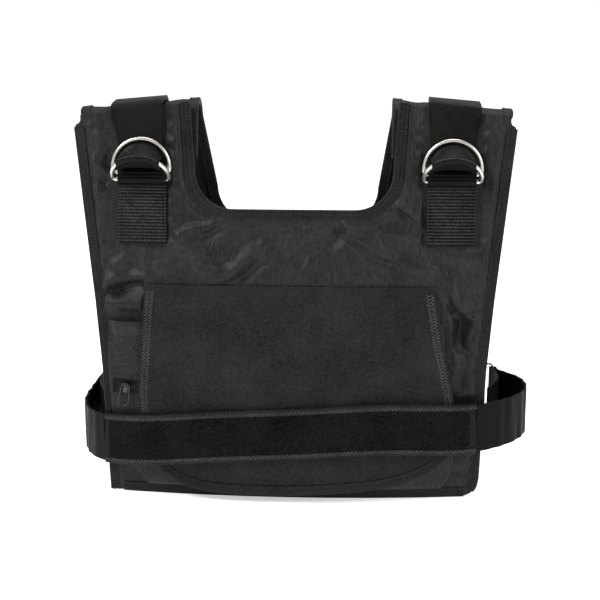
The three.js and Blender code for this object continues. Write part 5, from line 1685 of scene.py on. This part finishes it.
@dataclass
class Belt:
    """The belt: its band, pile, taped edges, side loops, back rings and their tabs."""

    thick: float = 2.4
    half: float = 24.5
    out: float = 90.4
    draw: float = 24.5
    power: float = 5.0
    edge: float = 188.0
    leg: float = 5.0
    butt: float = 0.3
    pile: float = 1.5
    pile_half: float = 19.2
    loop_web: float = 2.2
    ring_wire: float = 1.6
    ring_tall: float = 54.0
    ring_reach: float = 11.0
    ring_round: float = 3.0
    ring_clear: float = 6.0
    tab_sewn: float = 26.0
    tab_free: float = 8.0
    tab_half: float = 23.0
    tab_web: float = 1.8
    gap: float = 0.4
    seat_in: float = 9.0
    span: tuple[float, float] = (-1.015, 0.975)
    pile_span: tuple[float, float] = (-0.985, 0.94)
    tail: tuple[tuple[float, float], ...] = ((3.5, 12), (5, 34), (-1, 55), (-8, 74))

    def line(self, share: Points) -> Points:
        """The height of the belt's middle line at a share of its half length."""
        return smooth(share, [-1.02, -0.8, -0.48, 0.05, 0.55, 0.98], [58, 62.5, 68.5, 74.3, 79.8, 76])

    def face(self, x: Points, z: Points) -> Points:
        """The belt's inner face: its y at a place."""
        lean = SHAPE.front(0.0, z) - SHAPE.front(0.0, self.line(x / self.edge))
        return -self.out + self.draw * np.abs(x / self.edge) ** self.power + lean

    def spot(self, share: Points, aside: Points, out: Points | float) -> Points:
        """A point of the belt: its share along, its distance aside and how far out."""
        z = self.line(share) + aside
        x = share * self.edge
        return np.stack([x, self.face(x, z) - out, z], -1)

    def build(self, wardrobe: Wardrobe) -> None:
        """Builds the band, its pile and its taped edges."""
        start, end = self.span

        def band_at(s: Points, t: Points) -> Points:
            """A point on the middle of the band."""
            return self.spot(start + (end - start) * s, (2 * t - 1) * self.half, self.thick / 2)

        band = Bench.grid("belt_cloth", 170, 14, band_at, (1, 1))
        Bench.lay_out(band, 171, 15)
        _, size = Bench.flat_size(band)
        Bench.thicken(band, self.thick)
        Bench.finish(band, angle=50)
        wardrobe.dress(band, wardrobe.finishes.strap, "webbing", "belt_band")
        pile_start, pile_end = self.pile_span

        def pile_at(s: Points, t: Points) -> Points:
            """A point on the inner face of the pile, whose edges waver a little."""
            share = pile_start + (pile_end - pile_start) * s
            run = share * self.edge
            narrow = 1 - 0.2 * ramp(share, 0.88, 0.94)
            half = self.pile_half * narrow + 0.35 * ripples(run, t * 0, 15, 44)
            puff = 0.25 * np.sin(math.pi * t) + 0.12 * ripples(run, t * 35, 9, 45)
            swell = np.maximum(puff, 0) * ramp(np.minimum(s, 1 - s), 0, 0.02)
            return self.spot(share, (2 * t - 1) * half, self.thick + 0.3 + swell)

        pile = Bench.grid("belt_nap", 220, 24, pile_at, (1, 1))
        Bench.lay_out(pile, 221, 25)
        _, size = Bench.flat_size(pile)
        Bench.thicken(pile, self.pile, 1.0)
        Bench.finish(pile, angle=50)
        wardrobe.dress(pile, wardrobe.finishes.nap, "pile", "belt_pile")
        self.bind(wardrobe)

    def bind(self, wardrobe: Wardrobe) -> None:
        """Folds tape round the belt's long edges and sews them and the pile."""
        share = np.linspace(*self.span, 200)
        tape, sewing, rows = EdgeTape(leg=self.leg), Stitching(4.4, -2.5, 0.26), []
        for name, sign in (("top", 1), ("bottom", -1)):
            edge = self.spot(share, np.full(200, sign * self.half), self.thick / 2)
            tip = self.spot(share, np.full(200, sign * (self.half - 6)), self.thick / 2)
            seam = Seam(edge, unit(tip - edge), np.tile(FORWARD, (200, 1)))
            node = f"belt_binding_{name}"
            tape.wrap(wardrobe, f"belt_tape_{name}", seam, self.thick / 2, node, "belt_cloth")
            rows.append(sewing.row(seam.at(2.7, tape.lift(self.thick / 2)), seam.off, 76))
        sewing.sew(wardrobe, "belt_thread", rows, wardrobe.finishes.thread)

    def back_ring(self, side: Side) -> tuple[float, Callable[[Points], Points], Points, Points]:
        """Where a back ring stands: the wrap's radius, the lean with height, and its two upright bars."""
        top = float(SHAPE.roll(np.array(SHAPE.back_top_half))["back"])
        share = side.ring_height / top
        edge = SHAPE.back_hem_half + (SHAPE.back_top_half - SHAPE.back_hem_half) * share
        turn = self.ring_wire + self.gap + self.tab_web / 2
        level = SHAPE.back(np.array(edge - self.seat_in), np.array(side.ring_height))[1]

        def lean(z: Points) -> Points:
            """How much further back the panel's edge is at a height."""
            at = np.full_like(np.asarray(z, float), edge - self.seat_in)
            return SHAPE.back(at, np.asarray(z, float))[..., 1] - level

        seat = float(level) + SHAPE.rim + turn + self.gap
        inner = np.array([edge + self.ring_wire + self.ring_clear, seat])
        return turn, lean, inner, inner + np.array([self.ring_reach, 0])

    def build_side(self, wardrobe: Wardrobe, side: Side) -> None:
        """Builds a side's loop of webbing, its back ring and the ring's tab."""
        _, lean, inner, outer = self.back_ring(side)
        share = self.span[1] if side.sign > 0 else self.span[0]
        start = abs(share) * self.edge + self.butt
        start_z = float(self.line(np.array(share)))
        start_y = float(self.face(np.array(share * self.edge), np.array(start_z))) - self.thick / 2
        ring_turn = self.ring_wire + self.gap + self.loop_web / 2
        wrap = arc(outer, ring_turn, 10, 215, 7)
        reach = [(0, 0), (0.33, 9), (0.68, 24), (0.93, 45), (1, 68), (0.9, 95)]
        guides = np.array([
            *((start + (side.reach - start) * out, start_y + back) for out, back in reach),
            (outer[0] + ring_turn + 2, outer[1] - 11), tuple(wrap[0]),
        ])
        path = along(guides, 7.0)
        free = len(path) - 1
        tail = [(wrap[-1][0] + out, wrap[-1][1] - down) for out, down in self.tail]
        path = np.vstack([path[:-1], wrap, tail])
        at = np.minimum(np.arange(len(path)) / free, 1)
        run = run_along(path)
        normals = left_of(path)

        def line(aside: float) -> Points:
            """The loop's guide at a share aside."""
            middle = start_z + (side.ring_height - start_z) * at + side.rise * np.sin(math.pi * at)
            z = middle + aside * (self.half + (self.tab_half - self.half) * at)
            turned = 2 * math.pi * run / 17 + 0.6 * aside + side.sign
            fold = 0.7 * np.sin(turned) * np.sin(math.pi * at) ** 0.5
            x = path[:, 0] + normals[:, 0] * fold
            y = path[:, 1] + normals[:, 1] * fold + at**2 * lean(z)
            return np.stack([side.sign * x, y, z], -1)

        weaver = Webbing(self.loop_web, 1.6, 14)
        lines = [line(aside) for aside in (-1, -0.5, 0, 0.5, 1)]
        loop = weaver.weave(f"side_webbing_{side.name}", lines, self.half * 2)
        wardrobe.dress(loop, wardrobe.finishes.loop, "webbing", f"belt_side_{side.name}")
        tall, wide, corner = self.ring_tall / 2, self.ring_reach, self.ring_round
        outline = np.vstack([
            arc((corner, tall - corner), corner, 180, 90, 6),
            arc((wide - corner, tall - corner), corner, 90, 0, 6),
            arc((wide - corner, -tall + corner), corner, 0, -90, 6),
            arc((corner, -tall + corner), corner, -90, -180, 6),
        ])
        flat = spaced(np.vstack([outline, outline[:1]]), 89)[:-1]
        height = side.ring_height + flat[:, 1]
        bent = np.stack([side.sign * (inner[0] + flat[:, 0]), inner[1] + lean(height), height], -1)
        ring = Bench.ring(f"back_wire_{side.name}", bent, self.ring_wire, 12)
        wardrobe.dress(ring, wardrobe.finishes.nickel, "nickel", f"back_ring_{side.name}")
        self.tab(wardrobe, side)

    def tab(self, wardrobe: Wardrobe, side: Side) -> None:
        """Builds the tab that holds a back ring."""
        turn, lean, inner, _ = self.back_ring(side)

        def seat(x: float, layer: int) -> tuple[float, float]:
            """A point over the back, at a layer."""
            y = float(SHAPE.back(np.array(x), np.array(side.ring_height))[1])
            return x, y + SHAPE.rim + self.gap + self.tab_web / 2 + layer * (self.gap + self.tab_web)

        far, near = inner[0] - self.tab_free - self.tab_sewn, inner[0] - self.tab_free
        wrap = arc(inner, turn, 260, 460, 8)
        path = np.vstack([[seat(far, 0), seat(near, 0)], wrap, [seat(near, 1), seat(far, 1)]])

        def line(aside: float) -> Points:
            """The tab's guide at a height beside its middle."""
            z = np.full(len(path), side.ring_height + aside)
            return np.stack([side.sign * path[:, 0], path[:, 1] + lean(z), z], -1)

        weaver = Webbing(self.tab_web, 1.0, 14)
        shares = np.linspace(-1, 1, 5) * self.tab_half
        tab = weaver.weave(f"back_tab_webbing_{side.name}", [line(a) for a in shares], self.tab_half * 2)
        wardrobe.dress(tab, wardrobe.finishes.strap, "webbing", f"back_ring_tab_{side.name}")


@dataclass
class Studio:
    """The floor, the soft lights and the camera."""

    finish: FloorFinish = field(default_factory=FloorFinish)
    floor: float = 60.0
    lens: float = 87.1
    distance: float = 1.5
    round_by: float = math.radians(3)
    up_by: float = math.radians(14)
    target: tuple[float, float, float] = (-0.00448, 0.01042, 0.1885)
    sky: float = 0.55

    def lay_floor(self) -> None:
        """Lays the floor."""
        bpy.ops.object.select_all(action="DESELECT")
        bpy.ops.mesh.primitive_plane_add(size=self.floor)
        floor = bpy.context.active_object
        floor.name = floor.data.name = "studio_floor"
        floor.data.materials.append(self.finish.make())

    def light(self, name: str, place: Sequence[float], size: float, power: float) -> None:
        """Hangs one large lamp, facing the vest."""
        bpy.ops.object.light_add(type="AREA", location=place)
        lamp = bpy.context.active_object
        lamp.name, lamp.data.size, lamp.data.energy = name, size, power
        lamp.rotation_euler = (Vector((0, 0, 0.2)) - Vector(place)).to_track_quat("-Z", "Y").to_euler()

    def set_up(self) -> None:
        """Sets the floor, the sky, the lamps and the camera."""
        self.lay_floor()
        world = bpy.data.worlds.new("studio_sky")
        world.use_nodes = True
        background = world.node_tree.nodes["Background"]
        background.inputs["Color"].default_value = (1, 1, 1, 1)
        background.inputs["Strength"].default_value = self.sky
        bpy.context.scene.world = world
        bpy.context.scene.view_settings.view_transform = "Standard"
        self.light("key", (-1.5, -1.1, 1.9), 0.9, 52)
        self.light("fill", (1.8, -1.0, 1.2), 0.9, 24)
        self.light("top", (0.1, 0.5, 2.2), 1.3, 26)
        back = Vector((math.sin(self.round_by) * math.cos(self.up_by),
                       -math.cos(self.round_by) * math.cos(self.up_by), math.sin(self.up_by)))
        target = Vector(self.target)
        bpy.ops.object.camera_add(location=target + back * self.distance)
        camera = bpy.context.active_object
        camera.name = "studio_camera"
        camera.rotation_euler = back.to_track_quat("Z", "Y").to_euler()
        camera.data.lens, camera.data.sensor_width = self.lens, 36
        camera.data.clip_end = 200
        bpy.context.scene.camera = camera


def dress_metal(finishes: Finishes) -> None:
    """Gives the slider, the one node of the frame that shows as it is, its finish."""
    slider = bpy.data.objects["zip_slider"]
    for slot in slider.material_slots:
        slot.material = finishes.dark_metal


def main() -> None:
    """Dresses the vest."""
    logging.basicConfig(level=logging.INFO, format="%(message)s")
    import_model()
    wardrobe = Wardrobe(Finishes())
    FrontPanel().build(wardrobe)
    BackPanel().build(wardrobe)
    rings, pocket, belt = Rings(), Pocket(), Belt()
    for side in SIDES:
        rings.build(wardrobe, side)
        ShoulderStrap().build(wardrobe, side, rings)
    pocket.build(wardrobe)
    belt.build(wardrobe)
    for side in SIDES:
        belt.build_side(wardrobe, side)
    dress_metal(wardrobe.finishes)
    Studio().set_up()
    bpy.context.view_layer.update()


if __name__ == "__main__":
    main()
